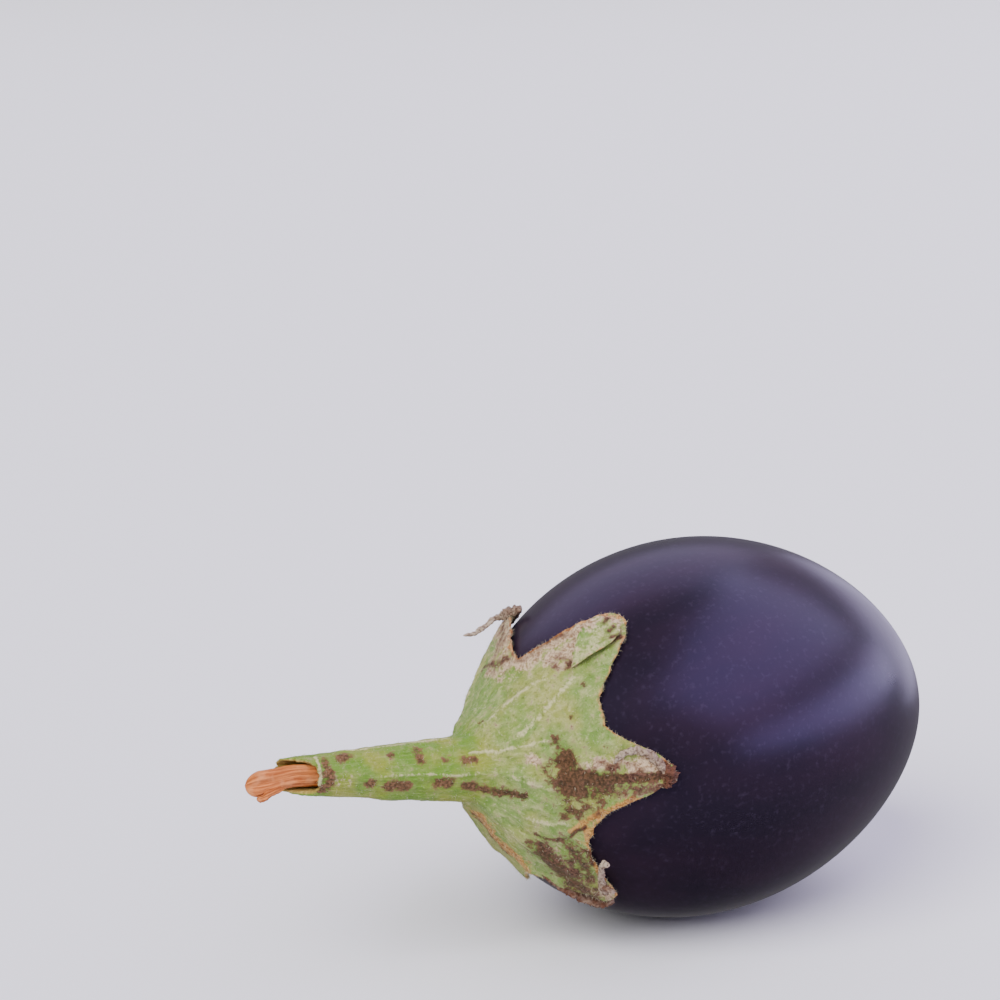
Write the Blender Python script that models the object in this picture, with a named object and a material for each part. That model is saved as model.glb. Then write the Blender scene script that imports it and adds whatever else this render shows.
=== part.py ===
"""An oval purple eggplant lying on its side: fruit, star-shaped calyx, stem, and the bare wood at its broken end.

Metres, +Z up. The origin is the middle of the small flat spot that the fruit rests on.
The stem points to -X. Angles round the fruit start at the side that faces -Y, and 90 degrees is straight up.
"Reach" is the distance over the skin from the pole where the stem stands.
"""

import math
from collections import namedtuple

import bmesh
import bpy
import numpy as np
from mathutils import Vector

MM = 0.001

# Fruit: an egg of revolution, a little oval, three-sided and four-sided across, that rests below its centre of mass
FRUIT_LENGTH = 117.4 * MM
FRUIT_DIAMETER = 87.17 * MM
STEM_HALF_FULLER = 0.0249
ENDS_SLIMMER = 0.075
OVAL_SHARE, OVAL_ANGLE = 0.0163, math.radians(61.8)
THREE_SIDED_SHARE, THREE_SIDED_ANGLE = 0.0119, math.radians(4.3)
FOUR_SIDED_SHARE, FOUR_SIDED_ANGLE = 0.0072, math.radians(13.1)
REST_DEPTH = 0.9 * MM
SCAR_RADIUS = 6 * MM
SCAR_DEPTH = 0.9 * MM

# Calyx: a cap that hugs the fruit, with a raised collar where the stem stands
FIT_GAP = 0.35 * MM
COLLAR_RADIUS = 8.1 * MM
COLLAR_HEIGHT = 4.0 * MM
COLLAR_FADE = 5.0 * MM
SEAT_SHIFT = Vector((0, 1.0, 2.3)) * MM
CAP_THICKNESS = 1.0 * MM
MARGIN_THICKNESS = 0.7 * MM
MARGIN_LIFT = 0.5 * MM
RIB_HEIGHT = 0.8 * MM
RIB_WIDTH = 1.9 * MM

# Stem: a ribbed stalk that leans away from the fruit's axis
STEM_DIAMETERS = ((0, 16.2), (2, 15.0), (6, 14.1), (12, 13.1), (18, 12.2), (22, 11.3), (30, 10.0), (36, 9.0), (46, 7.4))
STEM_LEAN = math.radians(14)
STEM_RISE = math.radians(4.5)
STEM_LEAN_BY = 6 * MM
STEM_RIB_SHARE = 0.045
BARK_LENGTH = 34 * MM
BARK_TONGUE = 9.5 * MM
SOCKET_DEPTH = 9 * MM
SOCKET_RADIUS = 3.2 * MM

# Wood: the bare, flattened core that sticks out of the bark
WOOD_LENGTH = 26 * MM
WOOD_WIDTH = 5.0 * MM
WOOD_THICKNESS = 3.4 * MM
WOOD_END_WIDTH = 6.0 * MM
WOOD_DROOP = 1.8 * MM
WOOD_GROOVE = 0.5 * MM

# Mesh fineness
FRUIT_COLUMNS, FRUIT_ROWS = 60, 34
SEPAL_SIDE_COLUMNS = 8
CAP_ROWS, LINING_ROWS = 13, 9
STEM_COLUMNS, STEM_ROWS = 30, 18
WOOD_COLUMNS, WOOD_ROWS = 16, 14
CURL_COLUMNS = 6

# A sepal's tip, the notch that follows it, how hollow its two sides are, and how far its tip stands off the skin
Sepal = namedtuple("Sepal", "tip_angle tip_reach hollow_before notch_angle notch_reach hollow_after tip_lift")
SEPALS = (
    Sepal(10, 45.2, 1.60, 34, 32.7, 1.25, 0.6),
    Sepal(68, 47.5, 1.35, 92, 26.2, 0.90, 0.8),
    Sepal(136, 43.0, 1.10, 161, 29.0, 1.10, 1.0),
    Sepal(190, 45.5, 1.20, 219, 30.0, 1.20, 0.9),
    Sepal(247, 38.5, 1.20, 281, 25.5, 1.10, 0.2),
    Sepal(307, 40.5, 1.00, 342, 28.8, 1.75, 0.9),
)

# Dried curls and rolled edges on the calyx: (reach, angle, height over the skin, radius) in mm and degrees
CURLS = {
    "thread_of_far_upper_sepal": (
        (40.3, 118, 2.0, 0.7), (41.3, 123, 2.2, 1.2), (42.3, 129, 2.4, 1.5), (41.8, 132.7, 3.6, 1.2),
        (39.6, 133.3, 4.8, 0.8), (37.4, 134.5, 5.2, 0.6), (35.4, 135.3, 6.0, 0.5), (33.3, 135.5, 8.2, 0.5),
    ),
    "rolled_edge_of_front_sepal": (
        (32.8, 18, 1.4, 0.6), (35, 20, 1.9, 0.8), (37.7, 20, 2.2, 0.9), (40, 17, 2.4, 1.0), (43.5, 10, 2.0, 1.2),
    ),
    "folded_tip_of_upper_sepal": (
        (30, 57, 1.4, 0.6), (33, 59, 1.9, 0.9), (37.5, 63, 2.1, 1.4), (42, 67, 2.2, 1.9), (46, 69, 2.0, 1.6),
    ),
    "curl_of_near_lower_sepal": (
        (38.9, 307, 1.8, 1.2), (36.0, 314.0, 2.3, 1.1), (34.0, 322, 3.0, 0.9),
        (33.3, 329, 3.9, 0.8), (34.8, 331.5, 4.8, 0.7),
    ),
    "rolled_edge_of_near_lower_sepal": ((27, 290, 1.2, 0.6), (32, 293, 1.5, 0.9), (37, 296, 1.8, 1.0), (40, 302, 1.8, 0.9)),
    "curl_of_far_sepal": ((42, 190, 1.8, 1.2), (46, 189, 3.0, 1.1), (46, 185, 5.0, 0.7)),
}


def cross_section(angle):
    """How much wider or narrower than round the fruit is at this angle."""
    oval = OVAL_SHARE * math.cos(2 * (angle - OVAL_ANGLE))
    three_sided = THREE_SIDED_SHARE * math.cos(3 * (angle - THREE_SIDED_ANGLE))
    four_sided = FOUR_SIDED_SHARE * math.cos(4 * (angle - FOUR_SIDED_ANGLE))
    return 1 + oval + three_sided + four_sided


def mean_radius(polar):
    """Radius of the egg at a polar angle, 0 at the stem's pole and pi at the blossom's."""
    along = math.cos(polar)
    return FRUIT_DIAMETER / 2 * math.sin(polar) * (1 + STEM_HALF_FULLER * along - ENDS_SLIMMER * along**2)


def egg_point(polar, angle):
    """A point of the fruit's skin, with the egg's middle at the origin."""
    radius = mean_radius(polar) * cross_section(angle)
    return Vector((-FRUIT_LENGTH / 2 * math.cos(polar), -radius * math.cos(angle), radius * math.sin(angle)))


def lowest_point():
    """The point of the egg that would touch the table first."""
    polars = np.linspace(1.2, 1.9, 71)
    angles = np.radians(np.linspace(240, 300, 121))
    return min((egg_point(p, a) for p in polars for a in angles), key=lambda point: point.z)


LOWEST = lowest_point()
FRUIT_MIDDLE = Vector((-LOWEST.x, -LOWEST.y, -LOWEST.z - REST_DEPTH))
STEM_POLE = FRUIT_MIDDLE - Vector((FRUIT_LENGTH / 2, 0, 0))
MERIDIAN_POLARS = np.linspace(0, math.pi, 721)
MERIDIAN = np.array([(-FRUIT_LENGTH / 2 * math.cos(p), mean_radius(p)) for p in MERIDIAN_POLARS])
MERIDIAN_REACH = np.concatenate([[0], np.cumsum(np.linalg.norm(np.diff(MERIDIAN, axis=0), axis=1))])


def polar_at(reach):
    return float(np.interp(reach, MERIDIAN_REACH, MERIDIAN_POLARS))


def skin_normal(polar, angle):
    step = 1e-4
    polar = max(polar, 2 * step)
    along = egg_point(polar + step, angle) - egg_point(polar - step, angle)
    around = egg_point(polar, angle + step) - egg_point(polar, angle - step)
    normal = along.cross(around).normalized()
    return normal if normal.dot(egg_point(polar, angle)) > 0 else -normal


def over_skin(reach, angle, height):
    """A point at this reach and angle, this high over the fruit's skin."""
    polar = polar_at(reach)
    return FRUIT_MIDDLE + egg_point(polar, angle) + skin_normal(polar, angle) * height


def material(name, colour, roughness):
    made = bpy.data.materials.new(name)
    made.use_nodes = True
    shader = made.node_tree.nodes["Principled BSDF"]
    shader.inputs["Base Color"].default_value = (*colour, 1)
    shader.inputs["Roughness"].default_value = roughness
    shader.inputs["Metallic"].default_value = 0
    return made


def skinned(rings, first_tip, last_tip):
    """A closed mesh through rings of points, each end drawn together to one point."""
    mesh = bmesh.new()
    loops = [[mesh.verts.new(point) for point in ring] for ring in rings]
    for ring, following in zip(loops, loops[1:]):
        for i, corner in enumerate(ring):
            mesh.faces.new((ring[i - 1], corner, following[i], following[i - 1]))
    for loop, tip in ((loops[0], first_tip), (loops[-1], last_tip)):
        end = mesh.verts.new(tip)
        for i, corner in enumerate(loop):
            mesh.faces.new((loop[i - 1], corner, end))
    bmesh.ops.recalc_face_normals(mesh, faces=mesh.faces)
    return mesh


def add_object(name, mesh, made_of):
    data = bpy.data.meshes.new(name)
    mesh.to_mesh(data)
    mesh.free()
    data.materials.append(made_of)
    data.shade_smooth()
    data.set_sharp_from_angle(angle=math.radians(40))
    obj = bpy.data.objects.new(name, data)
    bpy.context.scene.collection.objects.link(obj)
    return obj


def build_fruit():
    """The berry, with a shallow scar at its blossom end and a flat spot where its weight rests."""
    rings = []
    for row in range(1, FRUIT_ROWS):
        polar = math.pi * row / FRUIT_ROWS
        rings.append([
            FRUIT_MIDDLE + egg_point(polar, math.tau * column / FRUIT_COLUMNS)
            for column in range(FRUIT_COLUMNS)
        ])
    blossom_pole = FRUIT_MIDDLE + egg_point(math.pi, 0)
    for ring in rings:
        for point in ring:
            from_pole = math.hypot(point.y - blossom_pole.y, point.z - blossom_pole.z)
            if point.x > FRUIT_MIDDLE.x and from_pole < SCAR_RADIUS:
                point.x -= SCAR_DEPTH * (1 - (from_pole / SCAR_RADIUS) ** 2)
    blossom_pole.x -= SCAR_DEPTH
    mesh = skinned(rings, STEM_POLE, blossom_pole)
    everything = [*mesh.verts, *mesh.edges, *mesh.faces]
    cut = bmesh.ops.bisect_plane(mesh, geom=everything, plane_co=(0, 0, 0), plane_no=(0, 0, -1), clear_outer=True)
    rim = [part for part in cut["geom_cut"] if isinstance(part, bmesh.types.BMEdge)]
    bmesh.ops.contextual_create(mesh, geom=rim)
    bmesh.ops.recalc_face_normals(mesh, faces=mesh.faces)
    return add_object("fruit", mesh, material("purple_skin", (0.022, 0.012, 0.030), 0.28))


def smooth(share):
    share = min(1.0, max(0.0, share))
    return share * share * (3 - 2 * share)


def sepal_columns():
    """(angle, reach of the margin, nearness to a sepal's tip, that sepal) for each column of the calyx."""
    columns = []
    for i, sepal in enumerate(SEPALS):
        before = SEPALS[i - 1]
        notch_before = before.notch_angle - (360 if i == 0 else 0)
        for step in range(SEPAL_SIDE_COLUMNS):
            to_tip = step / SEPAL_SIDE_COLUMNS
            reach = before.notch_reach + (sepal.tip_reach - before.notch_reach) * smooth(to_tip**sepal.hollow_before)
            angle = notch_before + (sepal.tip_angle - notch_before) * to_tip
            columns.append((math.radians(angle), reach * MM, to_tip, sepal))
        for step in range(SEPAL_SIDE_COLUMNS):
            to_tip = 1 - step / SEPAL_SIDE_COLUMNS
            reach = sepal.notch_reach + (sepal.tip_reach - sepal.notch_reach) * smooth(to_tip**sepal.hollow_after)
            angle = sepal.notch_angle + (sepal.tip_angle - sepal.notch_angle) * to_tip
            columns.append((math.radians(angle), reach * MM, to_tip, sepal))
    return columns


def sepal_lift(share, to_tip, sepal):
    """How far the blade stands off the skin: its margin a little, its dry tip more."""
    at_margin = MARGIN_LIFT * smooth((share - 0.7) / 0.3)
    return at_margin + sepal.tip_lift * MM * smooth((share - 0.6) / 0.4) * to_tip**2


def collar(reach):
    return COLLAR_HEIGHT * math.exp(-max(0.0, reach - COLLAR_RADIUS) / COLLAR_FADE)


def lining_ring(columns, share):
    """One ring of the calyx's inner face, at a share of the way from the pole to the margin."""
    return [
        over_skin(margin * share, angle, FIT_GAP + sepal_lift(share, to_tip, sepal))
        for angle, margin, to_tip, sepal in columns
    ]


def outer_ring(columns, share):
    """One ring of the calyx's outer face, at a share of the way from the collar to the margin."""
    ring = []
    for angle, margin, to_tip, sepal in columns:
        reach = COLLAR_RADIUS + (margin - COLLAR_RADIUS) * share
        off_rib = reach * math.sin(angle - math.radians(sepal.tip_angle))
        rib = RIB_HEIGHT * math.exp(-((off_rib / RIB_WIDTH) ** 2)) * (1 - share)
        thickness = CAP_THICKNESS + (MARGIN_THICKNESS - CAP_THICKNESS) * share
        height = FIT_GAP + sepal_lift(reach / margin, to_tip, sepal) + thickness + collar(reach) + rib
        ring.append(over_skin(reach, angle, height) + SEAT_SHIFT * (collar(reach) / COLLAR_HEIGHT))
    return ring


def smooth_path(points, steps):
    """Catmull-Rom curve through 4-number points, a few steps between each pair."""
    path = []
    padded = [points[0], *points, points[-1]]
    for a, b, c, d in zip(padded, padded[1:], padded[2:], padded[3:]):
        for step in range(steps):
            t = step / steps
            path.append(0.5 * (2 * b + (c - a) * t + (2 * a - 5 * b + 4 * c - d) * t**2 + (3 * b - a - 3 * c + d) * t**3))
    return [*path, points[-1]]


def swept_rings(centres, radii, columns):
    """Round rings square to a path, without twist."""
    rings = []
    across = None
    for i, centre in enumerate(centres):
        ahead = (centres[min(i + 1, len(centres) - 1)] - centres[max(i - 1, 0)]).normalized()
        across = ahead.orthogonal() if across is None else across - ahead * across.dot(ahead)
        across.normalize()
        third = ahead.cross(across)
        turns = [math.tau * column / columns for column in range(columns)]
        rings.append([centre + (across * math.cos(t) + third * math.sin(t)) * radii[i] for t in turns])
    return rings


def build_curl(name, points, made_of):
    """One dried curl or rolled edge, a tapering strand that starts inside the calyx's blade."""
    path = smooth_path([np.array(point, float) for point in points], 3)
    centres = [over_skin(reach * MM, math.radians(angle), height * MM) for reach, angle, height, _ in path]
    radii = [radius * MM for *_, radius in path]
    rings = swept_rings(centres, radii, CURL_COLUMNS)
    return add_object(name, skinned(rings, centres[0], centres[-1]), made_of)


def join_by_union(obj, others):
    """Fuses other objects into this one with a Boolean, and removes them."""
    helpers = bpy.data.collections.new("to_join")
    bpy.context.scene.collection.children.link(helpers)
    for other in others:
        bpy.context.scene.collection.objects.unlink(other)
        helpers.objects.link(other)
    union = obj.modifiers.new("union", "BOOLEAN")
    union.operation = "UNION"
    union.operand_type = "COLLECTION"
    union.collection = helpers
    union.solver = "EXACT"
    bpy.context.view_layer.update()
    joined = bpy.data.meshes.new_from_object(obj.evaluated_get(bpy.context.evaluated_depsgraph_get()))
    obj.modifiers.remove(union)
    obj.data = joined
    for other in others:
        bpy.data.objects.remove(other)
    bpy.data.collections.remove(helpers)


def build_calyx():
    """The green cap: a collar, six ribbed sepals that hug the fruit, and their dried, curled tips."""
    green = material("calyx_green", (0.34, 0.36, 0.14), 0.75)
    columns = sepal_columns()
    outer = [outer_ring(columns, row / CAP_ROWS) for row in range(CAP_ROWS + 1)]
    lining = [lining_ring(columns, row / LINING_ROWS) for row in range(LINING_ROWS, 0, -1)]
    collar_x = sum(point.x for point in outer[0]) / len(outer[0])
    for point in outer[0]:
        point.x = collar_x
    seat = Vector((collar_x, STEM_POLE.y + SEAT_SHIFT.y, STEM_POLE.z + SEAT_SHIFT.z))
    calyx = add_object("calyx", skinned([*outer, *lining], seat, over_skin(0, 0, FIT_GAP)), green)
    join_by_union(calyx, [build_curl(name, points, green) for name, points in CURLS.items()])
    return seat


def stem_frames(start, rows, length):
    """(centre, direction ahead, distance) along the stem's middle line, which bends towards +Y."""
    frames = []
    centre = start.copy()
    step = length / rows
    for row in range(rows + 1):
        distance = row * step
        turned = smooth(distance / STEM_LEAN_BY)
        lean, rise = STEM_LEAN * turned, STEM_RISE * turned
        ahead = Vector((-math.cos(lean) * math.cos(rise), math.sin(lean) * math.cos(rise), math.sin(rise)))
        frames.append((centre.copy(), ahead, distance))
        centre += ahead * step
    return frames


def sides_of(ahead):
    """The two directions square to the stem that are nearest to -Y and to +Z."""
    near = Vector((0, 0, 1)).cross(ahead).normalized()
    return near, ahead.cross(near)


def ring_across(centre, ahead, columns, radius_at):
    """A ring square to the stem, at angles measured as they are round the fruit."""
    near, up = sides_of(ahead)
    turns = [math.tau * column / columns for column in range(columns)]
    return [centre + (near * math.cos(t) + up * math.sin(t)) * radius_at(t) for t in turns]


def stem_radius(distance, angle):
    """Half the stem's girth there, with a rib in line with each sepal."""
    places, diameters = zip(*STEM_DIAMETERS)
    radius = float(np.interp(distance / MM, places, diameters)) * MM / 2
    ribs = sum(math.exp(-((math.sin((angle - math.radians(s.tip_angle)) / 2) / 0.16) ** 2)) for s in SEPALS)
    return radius * (1 + STEM_RIB_SHARE * (ribs - 0.5))


def bark_end(angle):
    """How far the torn bark reaches at this angle: a long tongue behind, cut back on the near side."""
    return BARK_LENGTH + BARK_TONGUE * smooth(0.7 * (1 - math.cos(angle)))


def build_stem(seat):
    """The stalk: a ribbed tube of bark, torn off at a slant round a socket for the wood."""
    start = seat - Vector((FIT_GAP, 0, 0))
    longest = BARK_LENGTH + BARK_TONGUE
    frames = stem_frames(start, STEM_ROWS, longest)
    end_direction = frames[-1][1]
    rings = []
    for centre, ahead, distance in frames:
        ring = ring_across(centre, ahead, STEM_COLUMNS, lambda angle: stem_radius(distance, angle))
        for column, point in enumerate(ring):
            angle = math.tau * column / STEM_COLUMNS
            short = (longest - bark_end(angle)) * smooth((distance - longest / 2) / (longest / 2))
            point -= end_direction * short
        rings.append(ring)
    rim = rings[-1]
    floor_centre = start
    for centre, _, distance in frames:
        if distance <= BARK_LENGTH - SOCKET_DEPTH:
            floor_centre = centre
    inner_rim = ring_across(frames[-1][0], end_direction, STEM_COLUMNS, lambda angle: SOCKET_RADIUS)
    for inner, outer in zip(inner_rim, rim):
        inner += end_direction * ((outer - inner).dot(end_direction))
    floor = ring_across(floor_centre, end_direction, STEM_COLUMNS, lambda angle: SOCKET_RADIUS)
    mesh = skinned([*rings, inner_rim, floor], start, floor_centre)
    add_object("stem", mesh, material("stem_green", (0.23, 0.30, 0.08), 0.6))
    return floor_centre, end_direction


def build_wood(floor_centre, ahead):
    """The core: a flattened, grooved strip of wood, wider and bent down at its torn end."""
    start = floor_centre + ahead * FIT_GAP
    near, up = sides_of(ahead)
    rings = []
    for row in range(WOOD_ROWS + 1):
        share = row / WOOD_ROWS
        droop = WOOD_DROOP * smooth((share - 0.55) / 0.45)
        centre = start + ahead * WOOD_LENGTH * share - up * droop
        spread = smooth((share - 0.7) / 0.25)
        rounding = math.sqrt(max(0.0, 1 - max(0.0, (share - 0.85) / 0.16) ** 2))
        height = (WOOD_WIDTH + (WOOD_END_WIDTH - WOOD_WIDTH) * spread) / 2 * rounding
        depth = WOOD_THICKNESS / 2 * rounding
        ring = []
        for column in range(WOOD_COLUMNS):
            angle = math.tau * column / WOOD_COLUMNS
            groove = WOOD_GROOVE * max(0.0, math.cos(angle)) ** 6 * smooth(share / 0.4) * rounding
            ring.append(centre + near * (depth * math.cos(angle) - groove) + up * (height * math.sin(angle)))
        rings.append(ring)
    tip = start + ahead * (WOOD_LENGTH + 0.4 * MM) - up * WOOD_DROOP
    add_object("stem_wood", skinned(rings, start, tip), material("bare_wood", (0.62, 0.33, 0.17), 0.7))


def main():
    for obj in list(bpy.data.objects):
        bpy.data.objects.remove(obj)
    build_fruit()
    seat = build_calyx()
    socket, ahead = build_stem(seat)
    build_wood(socket, ahead)


main()
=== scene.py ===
"""Looks of an oval purple eggplant on its side: waxy skin, mottled calyx, ribbed stem and bare wood."""

import math

import bpy
import numpy as np
from mathutils import Matrix, Vector, noise


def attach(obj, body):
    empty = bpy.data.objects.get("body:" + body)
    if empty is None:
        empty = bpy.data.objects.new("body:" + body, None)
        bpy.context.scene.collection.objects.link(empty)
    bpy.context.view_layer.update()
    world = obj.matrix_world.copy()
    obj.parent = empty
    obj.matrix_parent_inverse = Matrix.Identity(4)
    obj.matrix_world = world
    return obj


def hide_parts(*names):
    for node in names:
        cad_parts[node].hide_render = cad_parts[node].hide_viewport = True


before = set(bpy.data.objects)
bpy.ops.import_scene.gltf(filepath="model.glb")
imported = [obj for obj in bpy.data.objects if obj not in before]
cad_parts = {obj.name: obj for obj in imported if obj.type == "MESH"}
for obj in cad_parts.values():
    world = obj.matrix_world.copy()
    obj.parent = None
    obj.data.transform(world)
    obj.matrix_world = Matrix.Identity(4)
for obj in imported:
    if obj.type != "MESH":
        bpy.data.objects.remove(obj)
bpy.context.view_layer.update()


# FRUIT
# The berry of the plant: spongy flesh under a thin, waxy skin, near black where nothing shines on it. It is
# egg-shaped, a little uneven across, and pressed flat where it rests. A corky scar at its far end shows where
# the flower was.
MM = 0.001
FRUIT_LENGTH, FRUIT_DIAMETER = 117.4, 86.87
STEM_HALF_FULLER, ENDS_SLIMMER = 0.0249, 0.075
LOBES = (
    # name, lobes round the fruit, their share of its radius, angle of the first
    ("Oval", 2.0, 0.0163, math.radians(61.8)),
    ("Three-sided", 3.0, 0.0119, math.radians(4.3)),
    ("Four-sided", 4.0, 0.0072, math.radians(13.1)),
)
FRUIT_MIDDLE = np.array([1.22, -1.55, 43.43])
STEM_POLE = FRUIT_MIDDLE - [FRUIT_LENGTH / 2, 0, 0]
SKIN_WAVE, SKIN_WAVES_PER_M, TABLE_GAP = 0.16, 38.0, 0.02
SCAR_DEPTH, DIMPLE_RADIUS, NUB_SHARE, NUB_RADIUS = 1.0, 8.5, 0.1, 1.8
SCAR_INNER, SCAR_OUTER, SCAR_RAGGED = 3.6, 5.2, 4.0
SKIN_CLOUD_SIZE, SKIN_SPECK_SIZE, SKIN_PORE_SIZE, SCAR_CRACK_SIZE = 16.67, 1.111, 3.03, 1.429
SKIN_BLACK, SKIN_PLUM, SKIN_SPECK = "#1b141d", "#281924", "#5c4f66"
SCAR_TAN, SCAR_BROWN = "#80694d", "#3f2e25"


def linear(hex_colour):
    """An sRGB hex colour as linear red, green, blue and alpha."""
    parts = [int(hex_colour[i : i + 2], 16) / 255 for i in (1, 3, 5)]
    return (*[p / 12.92 if p <= 0.04045 else ((p + 0.055) / 1.055) ** 2.4 for p in parts], 1.0)


def add_node(tree, kind, inputs=None, **settings):
    """Adds a node, sets its properties, and fills its inputs with values or hex colours, or links them."""
    made = tree.nodes.new(kind)
    for name, value in settings.items():
        setattr(made, name, value)
    for key, value in (inputs or {}).items():
        if isinstance(value, bpy.types.Node):
            value = next(output for output in value.outputs if not output.is_unavailable)
        if isinstance(value, bpy.types.NodeSocket):
            tree.links.new(value, made.inputs[key])
        else:
            made.inputs[key].default_value = linear(value) if str(value).startswith("#") else value
    return made


def lump_scale(size):
    """The noise scale for lumps of this size in millimetres."""
    return 1 / (size * MM)


def new_material(name):
    """An empty material, its node tree, and the place on the object."""
    made = bpy.data.materials.new(name)
    made.use_nodes = True
    made.node_tree.nodes.clear()
    return made, made.node_tree, add_node(made.node_tree, "ShaderNodeTexCoord").outputs["Object"]


def layered(tree, colour, layers, ramp="LINEAR"):
    """Lays colours over one: each with what decides its cover, the values from and to, and the most cover."""
    for decided_by, low, high, most, over in layers:
        cover = add_node(tree, "ShaderNodeMapRange", {
            0: decided_by, 1: low, 2: high, 4: most,
        }, interpolation_type=ramp)
        colour = add_node(tree, "ShaderNodeMix", {0: cover, 6: colour, 7: over}, data_type="RGBA")
    return colour


def finished(made, colour, roughness, relief, strength, depth, shine):
    """Gives a material its shader, with relief of this depth in millimetres."""
    tree = made.node_tree
    bump = add_node(tree, "ShaderNodeBump", {"Height": relief, "Strength": strength, "Distance": depth * MM})
    look = {"Base Color": colour, "Roughness": roughness, "Normal": bump, **shine}
    shader = add_node(tree, "ShaderNodeBsdfPrincipled", look)
    add_node(tree, "ShaderNodeOutputMaterial", {"Surface": shader})
    return made


def waxy_eggplant_skin():
    """Taut skin under wax: almost black, clouded with plum, with a bluish satin shine and a corky scar."""
    skin, tree, place = new_material("waxy_eggplant_skin")
    stretched = add_node(tree, "ShaderNodeMapping", {"Vector": place, "Scale": (0.35, 1, 1)})
    cloud_scale, speck_scale = lump_scale(SKIN_CLOUD_SIZE), lump_scale(SKIN_SPECK_SIZE)
    clouds = add_node(tree, "ShaderNodeTexNoise", {"Vector": stretched, "Scale": cloud_scale, "Detail": 4})
    # The real skin's pale pores are finer. They are drawn as coarse as they need to be to show.
    specks = add_node(tree, "ShaderNodeTexNoise", {"Vector": place, "Scale": speck_scale, "Detail": 3})
    layers = ((clouds, 0.35, 0.7, 1, SKIN_PLUM), (specks, 0.56, 0.75, 0.12, SKIN_SPECK))
    dark = layered(tree, SKIN_BLACK, layers)
    end = tuple((FRUIT_MIDDLE + [FRUIT_LENGTH / 2 - SCAR_DEPTH, 0, 0]) * MM)
    from_end = add_node(tree, "ShaderNodeVectorMath", {0: place, 1: end}, operation="DISTANCE")
    crack_scale, pore_scale = lump_scale(SCAR_CRACK_SIZE), lump_scale(SKIN_PORE_SIZE)
    ragged = add_node(tree, "ShaderNodeTexNoise", {"Vector": place, "Scale": crack_scale, "Detail": 3})
    spread = add_node(tree, "ShaderNodeMath", {
        0: ragged, 1: SCAR_RAGGED * MM, 2: from_end,
    }, operation="MULTIPLY_ADD")
    scar = add_node(tree, "ShaderNodeMapRange", {
        0: spread, 1: SCAR_INNER * MM, 2: SCAR_OUTER * MM, 3: 1, 4: 0,
    })
    cracked = add_node(tree, "ShaderNodeMapRange", {
        0: ragged, 1: 0.42, 2: 0.56,
    }, interpolation_type="SMOOTHSTEP")
    corky = add_node(tree, "ShaderNodeMix", {0: cracked, 6: SCAR_BROWN, 7: SCAR_TAN}, data_type="RGBA")
    coloured = add_node(tree, "ShaderNodeMix", {0: scar, 6: dark, 7: corky}, data_type="RGBA")
    rougher = add_node(tree, "ShaderNodeMapRange", {0: clouds, 1: 0.3, 2: 0.7, 3: 0.27, 4: 0.34})
    roughness = add_node(tree, "ShaderNodeMix", {0: scar, 2: rougher, 3: 0.8})
    pores = add_node(tree, "ShaderNodeTexNoise", {"Vector": place, "Scale": pore_scale, "Detail": 1})
    relief = add_node(tree, "ShaderNodeMath", {0: pores, 1: 0.35, 2: clouds}, operation="MULTIPLY_ADD")
    corky_relief = add_node(tree, "ShaderNodeMath", {0: cracked, 1: scar}, operation="MULTIPLY")
    relief = add_node(tree, "ShaderNodeMath", {0: corky_relief, 1: 2.5, 2: relief}, operation="MULTIPLY_ADD")
    return finished(skin, coloured, roughness, relief, 0.15, 0.4, {
        "IOR": 1.46, "Specular Tint": "#c3bcff",
        "Sheen Weight": 0.04, "Sheen Roughness": 0.4, "Sheen Tint": "#a9a0d8",
    })


def geometry_tree(name, values):
    """A Geometry Nodes tree with a named input for each value, and its input and output nodes."""
    kinds = {float: "NodeSocketFloat", tuple: "NodeSocketVector", bpy.types.Material: "NodeSocketMaterial"}
    tree = bpy.data.node_groups.new(name, "GeometryNodeTree")
    tree.interface.new_socket("Geometry", in_out="INPUT", socket_type="NodeSocketGeometry")
    for value_name, value in values.items():
        tree.interface.new_socket(value_name, in_out="INPUT", socket_type=kinds[type(value)])
    tree.interface.new_socket("Geometry", in_out="OUTPUT", socket_type="NodeSocketGeometry")
    return tree, tree.nodes.new("NodeGroupInput"), tree.nodes.new("NodeGroupOutput")


def grown(name, start_mesh, tree, values):
    """Runs a Geometry Nodes tree on a mesh and gives the result as an object with a plain mesh."""
    obj = bpy.data.objects.new(name, start_mesh)
    bpy.context.scene.collection.objects.link(obj)
    modifier = obj.modifiers.new("grow", "NODES")
    modifier.node_group = tree
    for item in tree.interface.items_tree:
        if item.in_out == "INPUT" and item.name in values:
            modifier[item.identifier] = values[item.name]
    bpy.context.view_layer.update()
    result = bpy.data.meshes.new_from_object(obj.evaluated_get(bpy.context.evaluated_depsgraph_get()))
    obj.modifiers.remove(modifier)
    obj.data = result
    result.name = name
    return obj


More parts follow.
